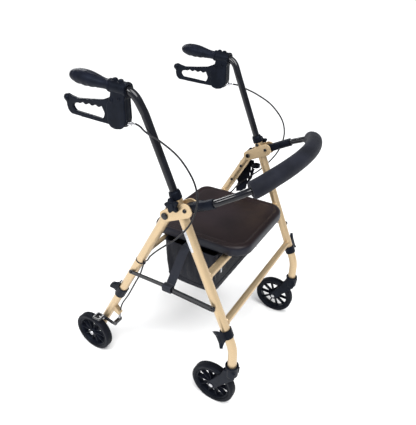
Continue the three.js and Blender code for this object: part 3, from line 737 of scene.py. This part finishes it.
def height_locks():
    bore = HANDLE_RADIUS + 0.5
    profile = [(bore, 0.4), (15.4, 0.4), (16.2, 1.2), (16.2, 18.5), (15.7, 20.2), (15.1, 21), (14.9, 24.2),
               (14.0, 25), (bore, 25)]
    rings = [[(16.1, z), (16.7, z + 0.5), (16.7, z + 1.3), (16.1, z + 1.8)] for z in (4, 9)]
    collar = merged(*[turned(p, at(TRACK, LEG_TOP), LEG_AXIS, 40) for p in [profile, *rings]])
    show_pair("height_collar", collar, MOULDED, "front_frame", "height_collar")
    centre = (leg_depth(702), 702)
    lobes = [(centre[0] + r * math.cos(a), centre[1] + r * math.sin(a))
             for a, r in ((a, 18 + 4 * math.cos(5 * a)) for a in (2 * math.pi * k / 100 for k in range(100)))]
    face = TRACK + PLATE_INSIDE + PLATE_THICKNESS + 2
    knob = merged(plate([lobes], face, face + 11, 2.2), rod(centre, face + 9, face + 13.6, 9, 1.5, 32),
                  rod(centre, TRACK + LEG_BORE, face + 1, 4, 0.3, 16))
    show_pair("star_knob", knob, MOULDED, "{side}_star_knob", "star_knob")
    inner = TRACK - LEG_RADIUS
    show_pair("height_bolt", bolt_head(centre, inner + 0.4, inner - 3.4, 6.2), GLOSS, "front_frame")


# ------------------------------------------------------------------ wheels
TREAD_GROOVES = (-6.5, -2.2, 2.2, 6.5)


def tyre():
    """A solid tyre with a rounded shoulder and four fine grooves round the tread."""
    profile = [(60.7, -9.2), (62, -11.6), (66, -13.2), (70, -13.4), (72.6, -12.6), (74.2, -11), (74.9, -9)]
    for x in TREAD_GROOVES:
        profile += [(75.0, x - 0.75), (74.0, x - 0.4), (74.0, x + 0.4), (75.0, x + 0.75)]
    mirror = [(r, -x) for r, x in reversed(profile[:7])]
    closed = profile + mirror + [profile[0]]
    return turned(closed, (0, 0, 0), AXIS_X, 96)


def rim():
    """The spoked rim: a flanged band, ten ribbed spokes and a hub with a bearing on each side."""
    band = bevelled([(54.5, -9), (57, -10), (60.4, -10.6), (60.4, 10.6),
                     (57, 10), (54.5, 9), (54.5, -9)], 0.7)
    flange = [bevelled([(56.5, s * 9.5), (58.2, s * 9.5), (58.2, s * 11.6), (56.5, s * 11.6)][::s], 0.5)
              for s in (1, -1)]
    hub = bevelled([(4.6, -12.5), (13, -12.5), (15.5, -9), (15.5, 9), (13, 12.5), (4.6, 12.5)], 0.8)
    web = bevelled([(14, -2), (24, -1.6), (24, 1.6), (14, 2)], 0.4)
    shapes = [turned(p, (0, 0, 0), AXIS_X, 80) for p in (band, *flange, hub, web)]
    outline = rounded([(13, -3.8), (34, -2.6), (56, -4.4), (56, 4.4), (34, 2.6), (13, 3.8)], 3, 4)
    rib = plate([[(z, y) for z, y in rounded([(13, -1.6), (56, -1.2), (56, 1.2), (13, 1.6)], 0.6, 3)]],
                -7.5, 7.5, 0.7)
    spoke = merged(plate([outline], -2.6, 2.6, 0.8), rib)
    for k in range(10):
        shapes.append(moved(spoke, Matrix.Rotation(2 * math.pi * k / 10, 4, "X")))
    return merged(*shapes)


def wheels():
    tyre_shape, rim_shape = tyre(), rim()
    for end, centre, plane, in (("front", FRONT_AXLE, TRACK), ("rear", REAR_AXLE, REAR_WHEEL_PLANE)):
        to_hub = Matrix.Translation(at(plane, (centre[0], WHEEL_RADIUS)))
        body = "{side}_" + end + "_wheel"
        show_pair(f"{end}_tyre", moved(tyre_shape, to_hub), TYRE, body, f"{end}_tyre")
        show_pair(f"{end}_rim", moved(rim_shape, to_hub), MOULDED, body, f"{end}_rim")
    face = WHEEL_HALF + 0.7 + 3.8 + 0.3
    front = merged(
        rod(FRONT_AXLE, TRACK - face - 1.3, TRACK + face + 1.3, 4, 0.3, 20),
        bolt_head(FRONT_AXLE, TRACK + face - 0.2, TRACK + face + 1.3, 7),
        bolt_head(FRONT_AXLE, TRACK - face + 0.2, TRACK - face - 1.3, 7))
    show_pair("front_axle", front, STEEL, "{side}_caster", "front_axle")
    hub = REAR_WHEEL_PLANE + WHEEL_HALF
    leg = TRACK + LEG_RADIUS + 0.5
    rear = merged(
        rod(REAR_AXLE, 2 * TRACK - leg - 6, hub + 1, 4, 0.3, 20),
        rod(REAR_AXLE, leg, REAR_WHEEL_PLANE - WHEEL_HALF - 0.3, 8, 0.5, 28),
        rod(REAR_AXLE, 2 * TRACK - leg - 6, 2 * TRACK - leg, 7.5, 0.8, 6),
        bolt_head(REAR_AXLE, hub + 0.3, hub + 4.8, 8))
    show_pair("rear_axle", rear, STEEL, "rear_frame", "rear_axle")


def casters():
    body = softened("left_caster_fork", 0.9, 7)
    lip = turned(bevelled([(17.6, 186), (20.9, 186.5), (21.3, 190.5), (19.4, 192.6), (17.4, 192.2)], 0.7),
                 (TRACK, STEM_DEPTH, 0), (0, 0, 1), 48)
    boss_face = WHEEL_HALF + 0.7 + 3.8
    bosses = []
    for sign in (1, -1):
        start = TRACK + sign * (boss_face - 0.8)
        bosses.append(turned(bevelled([(7.6, 0), (11.5, 0), (11, 1.4), (7.6, 1.4)], 0.4),
                             (start, *FRONT_AXLE),
                             AXIS_X * sign, 40))
    show_pair("caster_fork", merged(body, lip, *bosses), MOULDED, "{side}_caster", "caster_fork", 60)


# ------------------------------------------------------------------ moulded parts made from the CAD shapes
def mouldings():
    show_pair("front_guard_clip", softened("left_front_guard_clip", 0.8, 8), MOULDED, "front_frame",
              "front_guard_clip", 60)
    show_pair("rear_guard_clip", softened("left_rear_guard_clip", 0.8, 8), MOULDED, "rear_frame",
              "rear_guard_clip", 60)
    sleeve = sweep(backrest_line()[1:14], 13.2, 36, 9.8)
    show_pair("backrest_socket", merged(softened("left_backrest_socket", 0.7, 6), sleeve),
              MOULDED, "backrest",
              "backrest_socket", 60)
    show("stick_holder", softened("stick_holder", 0.8, 6), MOULDED, "rear_frame", ["stick_holder"], 60)
    inner = TRACK - LEG_RADIUS
    heads = [bolt_head((rear_depth(z), z), inner + 0.6, inner - 3, 5.4) for z in (611, 549)]
    show("stick_holder_bolts", merged(*heads), GLOSS, "rear_frame")


# ------------------------------------------------------------------ brakes and stays
def springy(start, end, radius, wire, turns):
    """A coil spring between two points."""
    start, end = Vector(start), Vector(end)
    axis = (end - start).normalized()
    side = axis.orthogonal().normalized()
    cross = axis.cross(side)
    steps = 16 * turns
    line = [start.lerp(end, k / steps)
            + (side * math.cos(2 * math.pi * turns * k / steps)
               + cross * math.sin(2 * math.pi * turns * k / steps))
            * radius for k in range(steps + 1)]
    return sweep(line, wire, 8)


def brakes():
    show_pair("brake_arm", softened("left_brake_arm", 0.6, 5, 0.35),
              GLOSS, "{side}_brake_arm", "brake_arm", 60)
    pivot = (rear_depth(150), 150)
    face = TRACK + LEG_RADIUS + 4.9 + 7
    show_pair("brake_pivot_bolt", bolt_head(pivot, face - 3, face + 1.0, 6), STEEL, "{side}_brake_arm")
    stop, arm = (TRACK, 353, 181), (TRACK, 357, 160)
    wire = sweep([Vector(stop) + Vector((0, -3, 6)), Vector(arm) + Vector((0, 0, -2))], 0.8, 10)
    coil = merged(springy(stop, arm, 3.4, 0.8, 7), wire)
    for side, sign in SIDES:
        spring = show(f"{side}_brake_spring", coil if sign > 0 else mirrored(coil), STEEL, "rear_frame")
        place((sign * TRACK, 353, 186))
        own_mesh(spring)


def stays():
    rear_face = TRACK + LEG_RADIUS + 0.7
    front_face = rear_face + 4.8
    rear = merged(
        plate([link_outline(STAY_REAR, 7, STAY_MIDDLE, 7)], rear_face, rear_face + 4, 0.8),
        rod(STAY_REAR, TRACK + LEG_BORE - 1, rear_face + 2, 4, 0.3, 16),
        bolt_head(STAY_REAR, rear_face + 3.8, rear_face + 7, 5.4))
    show_pair("rear_stay", rear, GLOSS, "{side}_rear_stay", "rear_stay")
    along = (Vector(STAY_MIDDLE) - Vector(STAY_FRONT)).normalized()
    across = Vector((-along.y, along.x))
    ribs = []
    for offset in (-6.6, 6.6):
        corners = [Vector(STAY_FRONT) + along * a + across * (offset + w)
                   for a, w in ((4, -1.1), (149, -1.1), (149, 1.1), (4, 1.1))]
        ribs.append(plate([[tuple(c) for c in corners]], front_face + 4, front_face + 6.4, 0.5))
    front = merged(
        plate([link_outline(STAY_FRONT, 9, STAY_MIDDLE, 9)], front_face, front_face + 5, 0.9),
        rod(STAY_FRONT, TRACK + LEG_BORE - 1, front_face + 2, 4, 0.3, 16),
        bolt_head(STAY_FRONT, front_face + 4.8, front_face + 8, 5.6),
        bolt_head(STAY_MIDDLE, front_face + 4.8, front_face + 7.6, 5), *ribs)
    show_pair("front_stay", front, GLOSS, "{side}_front_stay", "front_stay")


# ------------------------------------------------------------------ handles
def handle_line():
    corner = (204, GRIP_START[1] - GRIP_RISE * (GRIP_START[0] - 204))
    start = at(TRACK, LEG_TOP)
    corners = [start - LEG_AXIS * 190, start + LEG_AXIS * 228, at(GRIP_PLANE, corner),
               at(GRIP_PLANE, GRIP_START) + GRIP_AXIS * 118]
    return rounded(corners, 60, 24, closed=False)


PALM = [(0, 15.4, 15.4), (1.5, 17, 17), (7.5, 17, 17), (9.5, 14.2, 14.2), (13, 13.2, 13.2), (24, 13.4, 13.2),
        (38, 15.8, 14.6), (52, 18.8, 16.6), (66, 21, 18.6), (80, 22, 19.9), (96, 22, 20), (112, 21, 18.8),
        (124, 18, 15.8), (132, 14, 12.4), (137, 9.2, 8.3), (139.5, 3.8, 3.5), (140, 0.4, 0.4)]


def grip():
    """Palm grip of (distance, half width, half height) sections: wide and full to the rear, with finger waves."""
    origin = at(GRIP_PLANE, GRIP_START)
    up = AXIS_X.cross(GRIP_AXIS).normalized()
    sides, points, stations = 48, [], []
    for (a, wide_a, high_a), (b, wide_b, high_b) in zip(PALM, PALM[1:]):
        steps = max(1, round((b - a) / 2))
        for k in range(steps):
            t = k / steps
            stations.append((a + (b - a) * t, wide_a + (wide_b - wide_a) * t, high_a + (high_b - high_a) * t))
    stations.append(PALM[-1])
    for along, wide, high in stations:
        lift = 1.4 * max(0.0, math.sin(math.pi * (along - 30) / 110))
        for k in range(sides):
            angle = 2 * math.pi * k / sides
            below = max(0.0, -math.sin(angle))
            wave = 0.7 * below * math.cos((along - 40) / 3.6) if 42 < along < 118 else 0
            points.append(origin + GRIP_AXIS * along + AXIS_X * math.cos(angle) * (wide + 0.4 * wave)
                          + up * (math.sin(angle) * (high + wave) + lift))
    faces = ring_faces(0, len(stations), sides)
    last = (len(stations) - 1) * sides
    faces += [tuple(reversed(range(sides))), tuple(last + k for k in range(sides))]
    return points, faces


def lever():
    """The brake loop: rounded bars, a ball at the tip and finger waves under the upper bar."""
    outer = [(257, 951), (255, 930), (260, 892), (270, 878), (292, 876), (339, 878), (389, 881), (425, 883),
             (435, 892), (438, 905), (437, 914), (444, 918), (447, 926), (441, 934), (430, 937), (418, 933),
             (397, 929), (350, 933), (306, 938), (285, 946), (268, 954)]
    waves = [(311 + 2 * i, 918.2 + 2.2 * math.cos(i * math.pi / 5.6)) for i in range(42)]
    inner = waves + [(410, 914), (417, 905), (408, 894), (360, 891), (311, 887), (303, 903)]
    loop = plate([rounded(rounded(outer, 12, 3), 6, 3), rounded(inner, 9, 4)],
                 GRIP_PLANE - 5, GRIP_PLANE + 5, 2.4)
    ball = turned([(0, -9), (5, -8.4), (8.2, -5.6), (9.6, -1), (9.2, 3.6), (6.4, 7.6), (0, 9)],
                  at(GRIP_PLANE, (434, 925)), (0, 1, 0.1), 32)
    pin = rod(LEVER_PIVOT, GRIP_PLANE - 14.9, GRIP_PLANE + 14.9, 3.4, 0.4, 20)
    return merged(loop, ball, pin)


HOUSING = [(264, 870), (280, 874), (286, 884), (286, 928), (277, 942), (271, 952), (268, 962), (268, 984),
           (226, 984), (219, 978), (219, 966), (226, 948), (226, 901), (231, 884), (245, 873)]


def housing():
    """Two cheeks that hold the lever, a clamp round the tube, and the rounded block above."""
    outline = rounded(rounded(HOUSING, 14, 3), 6, 3)
    cheeks = plate([outline], GRIP_PLANE - 14.5, GRIP_PLANE - 5.8, 2.6), plate(
        [outline], GRIP_PLANE + 5.8, GRIP_PLANE + 14.5, 2.6)
    spine = plate([rounded([(248, 874), (248, 960), (268, 960), (268, 984), (226, 984), (219, 978), (219, 966),
                            (226, 948), (226, 901), (231, 884)], 4, 4)],
                  GRIP_PLANE - 6.4, GRIP_PLANE + 6.4, 0.3)
    start = at(GRIP_PLANE, GRIP_START)
    bore = HANDLE_RADIUS + 0.8
    clamp = turned(bevelled([(bore, -50), (17.4, -50), (17.4, -0.4), (bore, -0.4)], 1.2),
                   start, GRIP_AXIS, 44)
    lip = turned(bevelled([(17, -50), (18.6, -50), (18.6, -44), (17, -44)], 0.7), start, GRIP_AXIS, 44)
    domes = [turned([(7, -3), (7, 1.2), (6.2, 3.4), (4, 4.8), (0, 5.3)], at(GRIP_PLANE, (y, GRIP_START[1] + 16.4
             + GRIP_RISE * (y - GRIP_START[0]))), (0, 0, 1), 28) for y in (259, 241)]
    screws = [bolt_head(centre, GRIP_PLANE + sign * 14, GRIP_PLANE + sign * 16.4, radius)
              for centre, radius in ((LEVER_PIVOT, 6), ((241, 951), 5)) for sign in (1, -1)]
    return merged(*cheeks, spine, clamp, lip, *domes, *screws)


def handles():
    tube = sweep(handle_line(), HANDLE_RADIUS, 40, HANDLE_RADIUS - 1.5)
    show_pair("handle_tube", tube, GLOSS, "{side}_handle", "handle_tube")
    show_pair("grip", grip(), RUBBER, "{side}_handle", "grip")
    show_pair("brake_lever", lever(), MOULDED, "{side}_lever", "brake_lever")
    show_pair("lever_housing", housing(), MOULDED, "{side}_handle", "lever_housing")
    mouth, heading = at(GRIP_PLANE, (233, 888)), Vector((0, -1, 0.12))
    adjuster = merged(
        turned(bevelled([(0, 0), (4.3, 0), (4.3, 8), (2.9, 10), (2.9, 25), (0, 25)], 0.5),
               mouth, heading, 28),
        turned(bevelled([(2.8, 11), (5.2, 11), (5.2, 15), (2.8, 15)], 0.5), mouth, heading, 12))
    show_pair("cable_adjuster", adjuster, STEEL, "{side}_handle")


# ------------------------------------------------------------------ brake cables
CABLE = [(257, 205, 891), (262, 188, 889), (269, 164, 880), (271, 118, 865), (274, 66, 838), (278, 26, 795),
         (279, 12, 753), (279, 16, 712), (278, 31, 672), (275, 58, 631), (272, 90, 594), (271, 118, 568),
         (271, 150, 538), (271, 178, 508), (266, 194, 484), (258, 215, 461), (252, 240, 405), (250, 270, 350),
         (250, 302, 290), (250, 334, 238), (250, 348, 201)]


def cables():
    line = smooth_line(CABLE, 160)
    middle = min(range(len(line)), key=lambda i: (line[i] - Vector((278, 31, 672))).length)
    upper, lower = line[:middle + 1], line[middle:]
    for side, sign in SIDES:
        for part, stretch, bodies in (("upper", upper, (f"{side}_handle", "front_frame")),
                                      ("lower", lower, ("front_frame", "rear_frame"))):
            shape = sweep(stretch, 2.5, 14)
            here = shape if sign > 0 else mirrored(shape)
            piece = made(f"{side}_brake_cable_{part}", here, JACKET)
            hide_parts(f"{side}_brake_cable")
            mirror = Vector((sign, 1, 1))
            start, end = stretch[2] * mirror, stretch[-3] * mirror
            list(bodies)
            place(start)
            place(end)
            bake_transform(piece)
    clip_at = at(TRACK, (rear_depth(461), 461))
    band = turned([(14.35, -3), (14.85, -3), (14.85, 3), (14.35, 3), (14.35, -3)], clip_at, REAR_AXIS, 36)
    loop = turned(bevelled([(2.7, -3), (4.6, -3), (4.6, 3), (2.7, 3), (2.7, -3)], 0.5),
                  Vector((258, 215, 461)), Vector((-7, 23, -50)), 24)
    show_pair("cable_clip", merged(band, loop), MOULDED, "rear_frame")


# ------------------------------------------------------------------ seat
def rounded_rectangle(inset, count_corner=14, front_radius=56, rear_radius=32):
    """The seat's outline moved in by inset, as width-depth points with even corners."""
    half, front, rear = SEAT_HALF - inset, SEAT_FRONT + inset, SEAT_REAR - inset
    rf, rr = max(front_radius - inset * 0.6, 8), max(rear_radius - inset * 0.4, 8)
    corners = [(half - rf, front + rf, rf, -90), (half - rr, rear - rr, rr, 0),
               (rr - half, rear - rr, rr, 90), (rf - half, front + rf, rf, 180)]
    outline = []
    for cx, cy, radius, start in corners:
        for k in range(count_corner + 1):
            angle = math.radians(start + 90 * k / count_corner)
            outline.append(Vector((cx + radius * math.cos(angle), cy + radius * math.sin(angle), 0)))
    return resampled(outline + [outline[0]], 161)[:160]


def seat():
    """Moulded seat: a rolled edge, a raised rim with a groove inside it and a gently dished top."""
    rings = [(30, 510.5), (6, 510.7), (1.5, 512.2), (0.2, 516),
             (0, 522), (0.2, 530), (1.2, 536), (3.6, 540.6),
             (7.5, 543.4), (12, 544.4), (16, 543.8), (19, 542.4), (21.5, 541.7), (25, 542.0), (34, 542.6),
             (56, 542.2), (84, 541.4), (112, 541.0), (135, 540.8)]
    points = []
    for inset, height in rings:
        for p in rounded_rectangle(inset):
            sway = 0.5 * noise.noise(Vector((p.x, p.y, height)) * 0.018)
            points.append(Vector((p.x, p.y, height + sway)))
    count = 160
    faces = ring_faces(0, len(rings), count)
    last = (len(rings) - 1) * count
    for start, order in ((0, -1), (last, 1)):
        centre = len(points)
        ring = points[start:start + count]
        points.append(sum(ring, Vector()) / count)
        for i in range(count):
            j = (i + 1) % count
            faces.append((start + i, start + j, centre) if order > 0 else (start + j, start + i, centre))
    pad = show("seat_pad", (points, faces), SKIN, "seat", ["seat_pad"], 70)
    board_points = []
    for inset, height in ((40, 505), (9, 505), (7, 506), (7, 509), (9, 510), (40, 510)):
        board_points += [Vector((p.x, p.y, height)) for p in rounded_rectangle(inset)]
    board_faces = ring_faces(0, 6, count)
    board_faces += [tuple(reversed(range(count))), tuple(5 * count + i for i in range(count))]
    shapes = [(board_points, board_faces)]
    (depth, height), radius = UPPER_BAR
    for from_x in (-112, 88):
        arc = [(depth + r * math.cos(a), height + r * math.sin(a))
               for r, turns in ((radius + 3, range(31)), (radius + 0.8, reversed(range(31))))
               for a in (math.radians(-35 + 250 * k / 30) for k in turns)]
        shapes.append(plate([arc], from_x, from_x + 24, 0.5))
        neck = [(depth - 11, height + 13), (depth + 11, height + 13),
                (depth + 15, 505.4), (depth - 15, 505.4)]
        shapes.append(plate([neck], from_x, from_x + 24, 0.5))
    for y in (60, 120, 180):
        shapes.append(plate([[(y - 2, 501), (y + 2, 501), (y + 2, 505.4), (y - 2, 505.4)]], -120, 120, 0.4))
    show("seat_board", merged(*shapes), MOULDED, "seat", ["seat_board"])


# ------------------------------------------------------------------ backrest
BACK_HALF = [(251, 44, 698), (256, -16, 727), (245, -50, 744), (229, -82, 760), (203, -108, 773),
             (150, -131, 786), (76, -150, 796)]


def backrest_line():
    return smooth_line(BACK_HALF + [(0, -157, 800)] + [(-x, y, z) for x, y, z in reversed(BACK_HALF)], 141)


def backrest():
    line = backrest_line()
    show("backrest_tube", sweep(line, 9.5, 32), GLOSS, "backrest", ["backrest_tube"])
    sleeve = line[30:111]

    def girth(share):
        edge = min(share, 1 - share) * 80
        return 23.6 - 3.2 * max(0.0, 1 - edge / 1.2) ** 2

    points, faces = sweep(sleeve, girth, 56)
    soft = []
    for p in points:
        soft.append(p + Vector((0, 0, 0.5 * noise.noise(p * 0.03))))
    foam = show("backrest_foam", (soft, faces), FOAM, "backrest", ["backrest_foam"], 60)


# ------------------------------------------------------------------ bag
def bag_shell():
    """A loft from the hem at the top to the flat bottom: gussets pulled in, bottom rounded."""
    middle = (BAG_FRONT + BAG_REAR) / 2
    half_depth = (BAG_REAR - BAG_FRONT) / 2 - 2
    half_width = BAG_HALF - 2
    count = 144
    rows = 22
    points = []

    def loop(width, depth, radius, height):
        corners = [(width - radius, depth - radius, 0), (radius - width, depth - radius, 90),
                   (radius - width, radius - depth, 180), (width - radius, radius - depth, 270)]
        outline = []
        for cx, cy, start in corners:
            for k in range(9):
                angle = math.radians(start + 90 * k / 8)
                outline.append(Vector((cx + radius * math.cos(angle),
                                      middle + cy + radius * math.sin(angle), height)))
        return resampled(outline + [outline[0]], count + 1)[:count]

    for row in range(rows + 1):
        share = row / rows
        height = BAG_TOP - (BAG_TOP - BAG_BOTTOM - 3) * share
        ring = loop(half_width, half_depth, 10, height)
        for p in ring:
            gusset = max(0.0, abs(p.x) / half_width - 0.93) / 0.07
            across = 1 - min(abs(p.y - middle) / half_depth, 1) ** 2
            p.x -= math.copysign(7 * gusset * across * math.sin(math.pi * share) ** 2, p.x)
        points += ring
    for inset in (6, 22, 44, 66, 84):
        points += loop(half_width - inset, half_depth - inset, max(10 - inset * 0.3, 3), BAG_BOTTOM + 2)
    rings = rows + 1 + 5
    faces = ring_faces(0, rings, count)
    faces = [tuple(reversed(f)) for f in faces]
    faces.append(tuple((rings - 1) * count + i for i in reversed(range(count))))
    return points, faces, count


BAG_CORNERS = (4, 68, 76, 140)


def settled(points, faces, pinned, frames, cap):
    """Lets the cloth hang for some frames and returns its points, none moved further than cap."""
    mesh = bpy.data.meshes.new("cloth")
    mesh.from_pydata([p / 1000 for p in points], [], faces)
    holder = bpy.data.objects.new("cloth", mesh)
    scene = bpy.context.scene
    scene.collection.objects.link(holder)
    group = holder.vertex_groups.new(name="pin")
    group.add(pinned, 1.0, "REPLACE")
    cloth = holder.modifiers.new("cloth", "CLOTH")
    cloth.settings.vertex_group_mass = "pin"
    cloth.settings.quality = 6
    cloth.settings.mass = 0.25
    cloth.settings.tension_stiffness = 12
    cloth.settings.bending_stiffness = 0.6
    cloth.settings.shrink_min = -0.03
    cloth.collision_settings.use_collision = False
    cloth.point_cache.frame_start = 1
    cloth.point_cache.frame_end = frames
    for step in range(1, frames + 1):
        scene.frame_set(step)
    result = holder.evaluated_get(bpy.context.evaluated_depsgraph_get()).to_mesh()
    hung = []
    for start, vertex in zip(points, result.vertices):
        shift = vertex.co * 1000 - start
        hung.append(start + shift * min(1.0, cap / max(shift.length, 1e-6)))
    bpy.data.objects.remove(holder)
    scene.frame_set(1)
    return hung


def band_round(bar, clearance, thickness, from_x, width):
    """Webbing once round a bar."""
    (depth, height), radius = bar
    arc = [(depth + r * math.cos(a), height + r * math.sin(a))
           for r, turns in ((radius + clearance + thickness, range(41)),
                            (radius + clearance, reversed(range(41))))
           for a in (2 * math.pi * k / 40.01 for k in turns)]
    return plate([arc], from_x, from_x + width, 0.3)


def bag():
    points, faces, count = bag_shell()
    random.seed(7)
    rough = [p + Vector((0, random.uniform(-0.5, 0.5), 0)) for p in points]
    hung = settled(rough, faces, list(range(count)), 24, 9)
    low = BAG_BOTTOM - 2
    hung = [Vector((p.x, p.y, max(p.z, low))) for p in hung]
    inner = [p + (Vector((0, (BAG_FRONT + BAG_REAR) / 2, 425)) - p).normalized() * 1.6 for p in hung]
    start = len(hung)
    walls = faces + [tuple(start + i for i in reversed(face)) for face in faces]
    for i in range(count):
        j = (i + 1) % count
        walls.append((i, start + i, start + j, j))
    shapes = [(hung + inner, walls)]

    def piping(indices, radius=1.7):
        line = [hung[i] for i in indices]
        return sweep(line, radius, 10)

    shapes += [piping([*range(count), 0], 2.2), piping([19 * count + i for i in range(count)] + [19 * count])]
    for corner in BAG_CORNERS:
        shapes.append(piping([row * count + corner for row in range(20)], 1.5))
    body = merged(*shapes)
    piece = made("bag", body, CLOTH, 60)
    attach(piece, "front_frame")
    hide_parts("bag")
    place((0, BAG_FRONT, 0))
    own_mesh(piece)
    zip_height = BAG_TOP - 50
    zip_line = [Vector((x, BAG_FRONT - 1.4, zip_height)) for x in range(-150, 151, 6)]
    tapes = [plate([[(BAG_FRONT - 0.9, z - 4), (BAG_FRONT + 0.5, z - 4), (BAG_FRONT + 0.5, z + 4),
                     (BAG_FRONT - 0.9, z + 4)]], -152, 152, 0.3) for z in (zip_height - 7, zip_height + 7)]
    show("bag_zip", merged(sweep(zip_line, 1.5, 8), *tapes), WEBBING, "front_frame")
    slider = plate([rounded([(BAG_FRONT - 4.6, zip_height + 4), (BAG_FRONT - 1.6, zip_height + 4),
                             (BAG_FRONT - 1.6, zip_height - 4), (BAG_FRONT - 4.6, zip_height - 4)], 1)],
                   -141, -131, 0.6)
    tag = plate([rounded([(BAG_FRONT - 4.2, zip_height - 3), (BAG_FRONT - 2.8, zip_height - 3),
                          (BAG_FRONT - 2.8, zip_height - 22), (BAG_FRONT - 4.2, zip_height - 22)], 0.5)],
                -139.5, -132.5, 0.4)
    show("zip_pull", merged(slider, tag), LABEL, "front_frame")
    for name, bar, clearance, body_name in (("front", UPPER_BAR, 0.6, "front_frame"),
                                            ("rear", REAR_BAR, 0.6, "rear_frame")):
        bands = [band_round(bar, clearance, 1.8, from_x, 30) for from_x in (-70, 40)]
        show(f"bag_{name}_loops", merged(*bands), WEBBING, body_name)


# ------------------------------------------------------------------ lift strap
STRAP_WIDTH = 30
STRAP_THICKNESS = 2
STRAP_FRONT = 106


def ribbon(line, depth):
    """Flat webbing of the strap's width, its length along line in the width-height plane."""
    frames = frames_along(line)
    points = []
    for p, (tangent, _, _) in zip(line, frames):
        normal = Vector((-tangent.z, 0, tangent.x)) * (STRAP_THICKNESS / 2)
        for y, lift in ((0, 0.6), (2, 1), (STRAP_WIDTH - 2, 1), (STRAP_WIDTH, 0.6),
                        (STRAP_WIDTH, -0.6), (STRAP_WIDTH - 2, -1), (2, -1), (0, -0.6)):
            points.append(Vector((p.x, depth + y, p.z)) + normal * lift)
    faces = ring_faces(0, len(line), 8)
    last = (len(line) - 1) * 8
    faces += [tuple(reversed(range(8))), tuple(last + i for i in range(8))]
    return points, [tuple(reversed(f)) for f in faces]


def lift_strap():
    corner = [(258, 416), (186, 492), (168, 501), (0, 501)]
    line = resampled([Vector((x, 0, z)) for x, z in rounded(corner, 40, 8, closed=False)], 40)
    wrap = rounded([(260, 403), (280, 403), (280, 424), (260, 424)], 5, 4)
    wrap = ribbon([Vector((x, 0, z)) for x, z in [*wrap, wrap[0]]], STRAP_FRONT)
    show_pair("strap_wrap", wrap, WEBBING, "{side}_front_stay")
    for side, sign in SIDES:
        shape = ribbon(line, STRAP_FRONT)
        here = shape if sign > 0 else mirrored(shape)
        piece = made(f"{side}_lift_strap", here, WEBBING, 50)
        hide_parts("lift_strap")
        place((sign * 256, 121, 418))
        place((sign * 180, 121, 497))
        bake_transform(piece)


# ------------------------------------------------------------------ small plain stickers
def stickers():
    """Blank labels on the right front leg, curved to the tube."""
    start = at(TRACK, (leg_depth(600), 600))
    outward = (AXIS_X * 0.9 + LEG_AXIS.cross(AXIS_X) * 0.3).normalized()
    side = LEG_AXIS.cross(outward).normalized()
    rows, columns, points = 12, 12, []
    for i in range(rows + 1):
        for k in range(columns + 1):
            angle = math.radians(-30 + 60 * k / columns)
            spoke = outward * math.cos(angle) + side * math.sin(angle)
            points.append(start + LEG_AXIS * (-34 + 68 * i / rows) + spoke * (LEG_RADIUS + 0.12))
    wide = columns + 1
    faces = [(r * wide + c, r * wide + c + 1, (r + 1) * wide + c + 1, (r + 1) * wide + c)
             for r in range(rows) for c in range(columns)]
    thick = [p + (p - (start + LEG_AXIS * (p - start).dot(LEG_AXIS))).normalized() * 0.15 for p in points]
    count = len(points)
    edge = ([*range(wide)] + [r * wide + columns for r in range(1, rows + 1)]
            + [rows * wide + c for c in reversed(range(columns))]
            + [r * wide for r in reversed(range(1, rows))])
    walls = [(a, b, count + b, count + a) for a, b in zip(edge, edge[1:] + edge[:1])]
    shape = (points + thick, [tuple(reversed(f)) for f in faces]
             + [tuple(count + i for i in f) for f in faces] + walls)
    show("leg_label", mirrored(shape), LABEL, "front_frame", sharp=50)


camera()
studio()
frame_tubes()
hinges()
height_locks()
wheels()
casters()
mouldings()
brakes()
stays()
handles()
cables()
seat()
backrest()
bag()
lift_strap()
stickers()
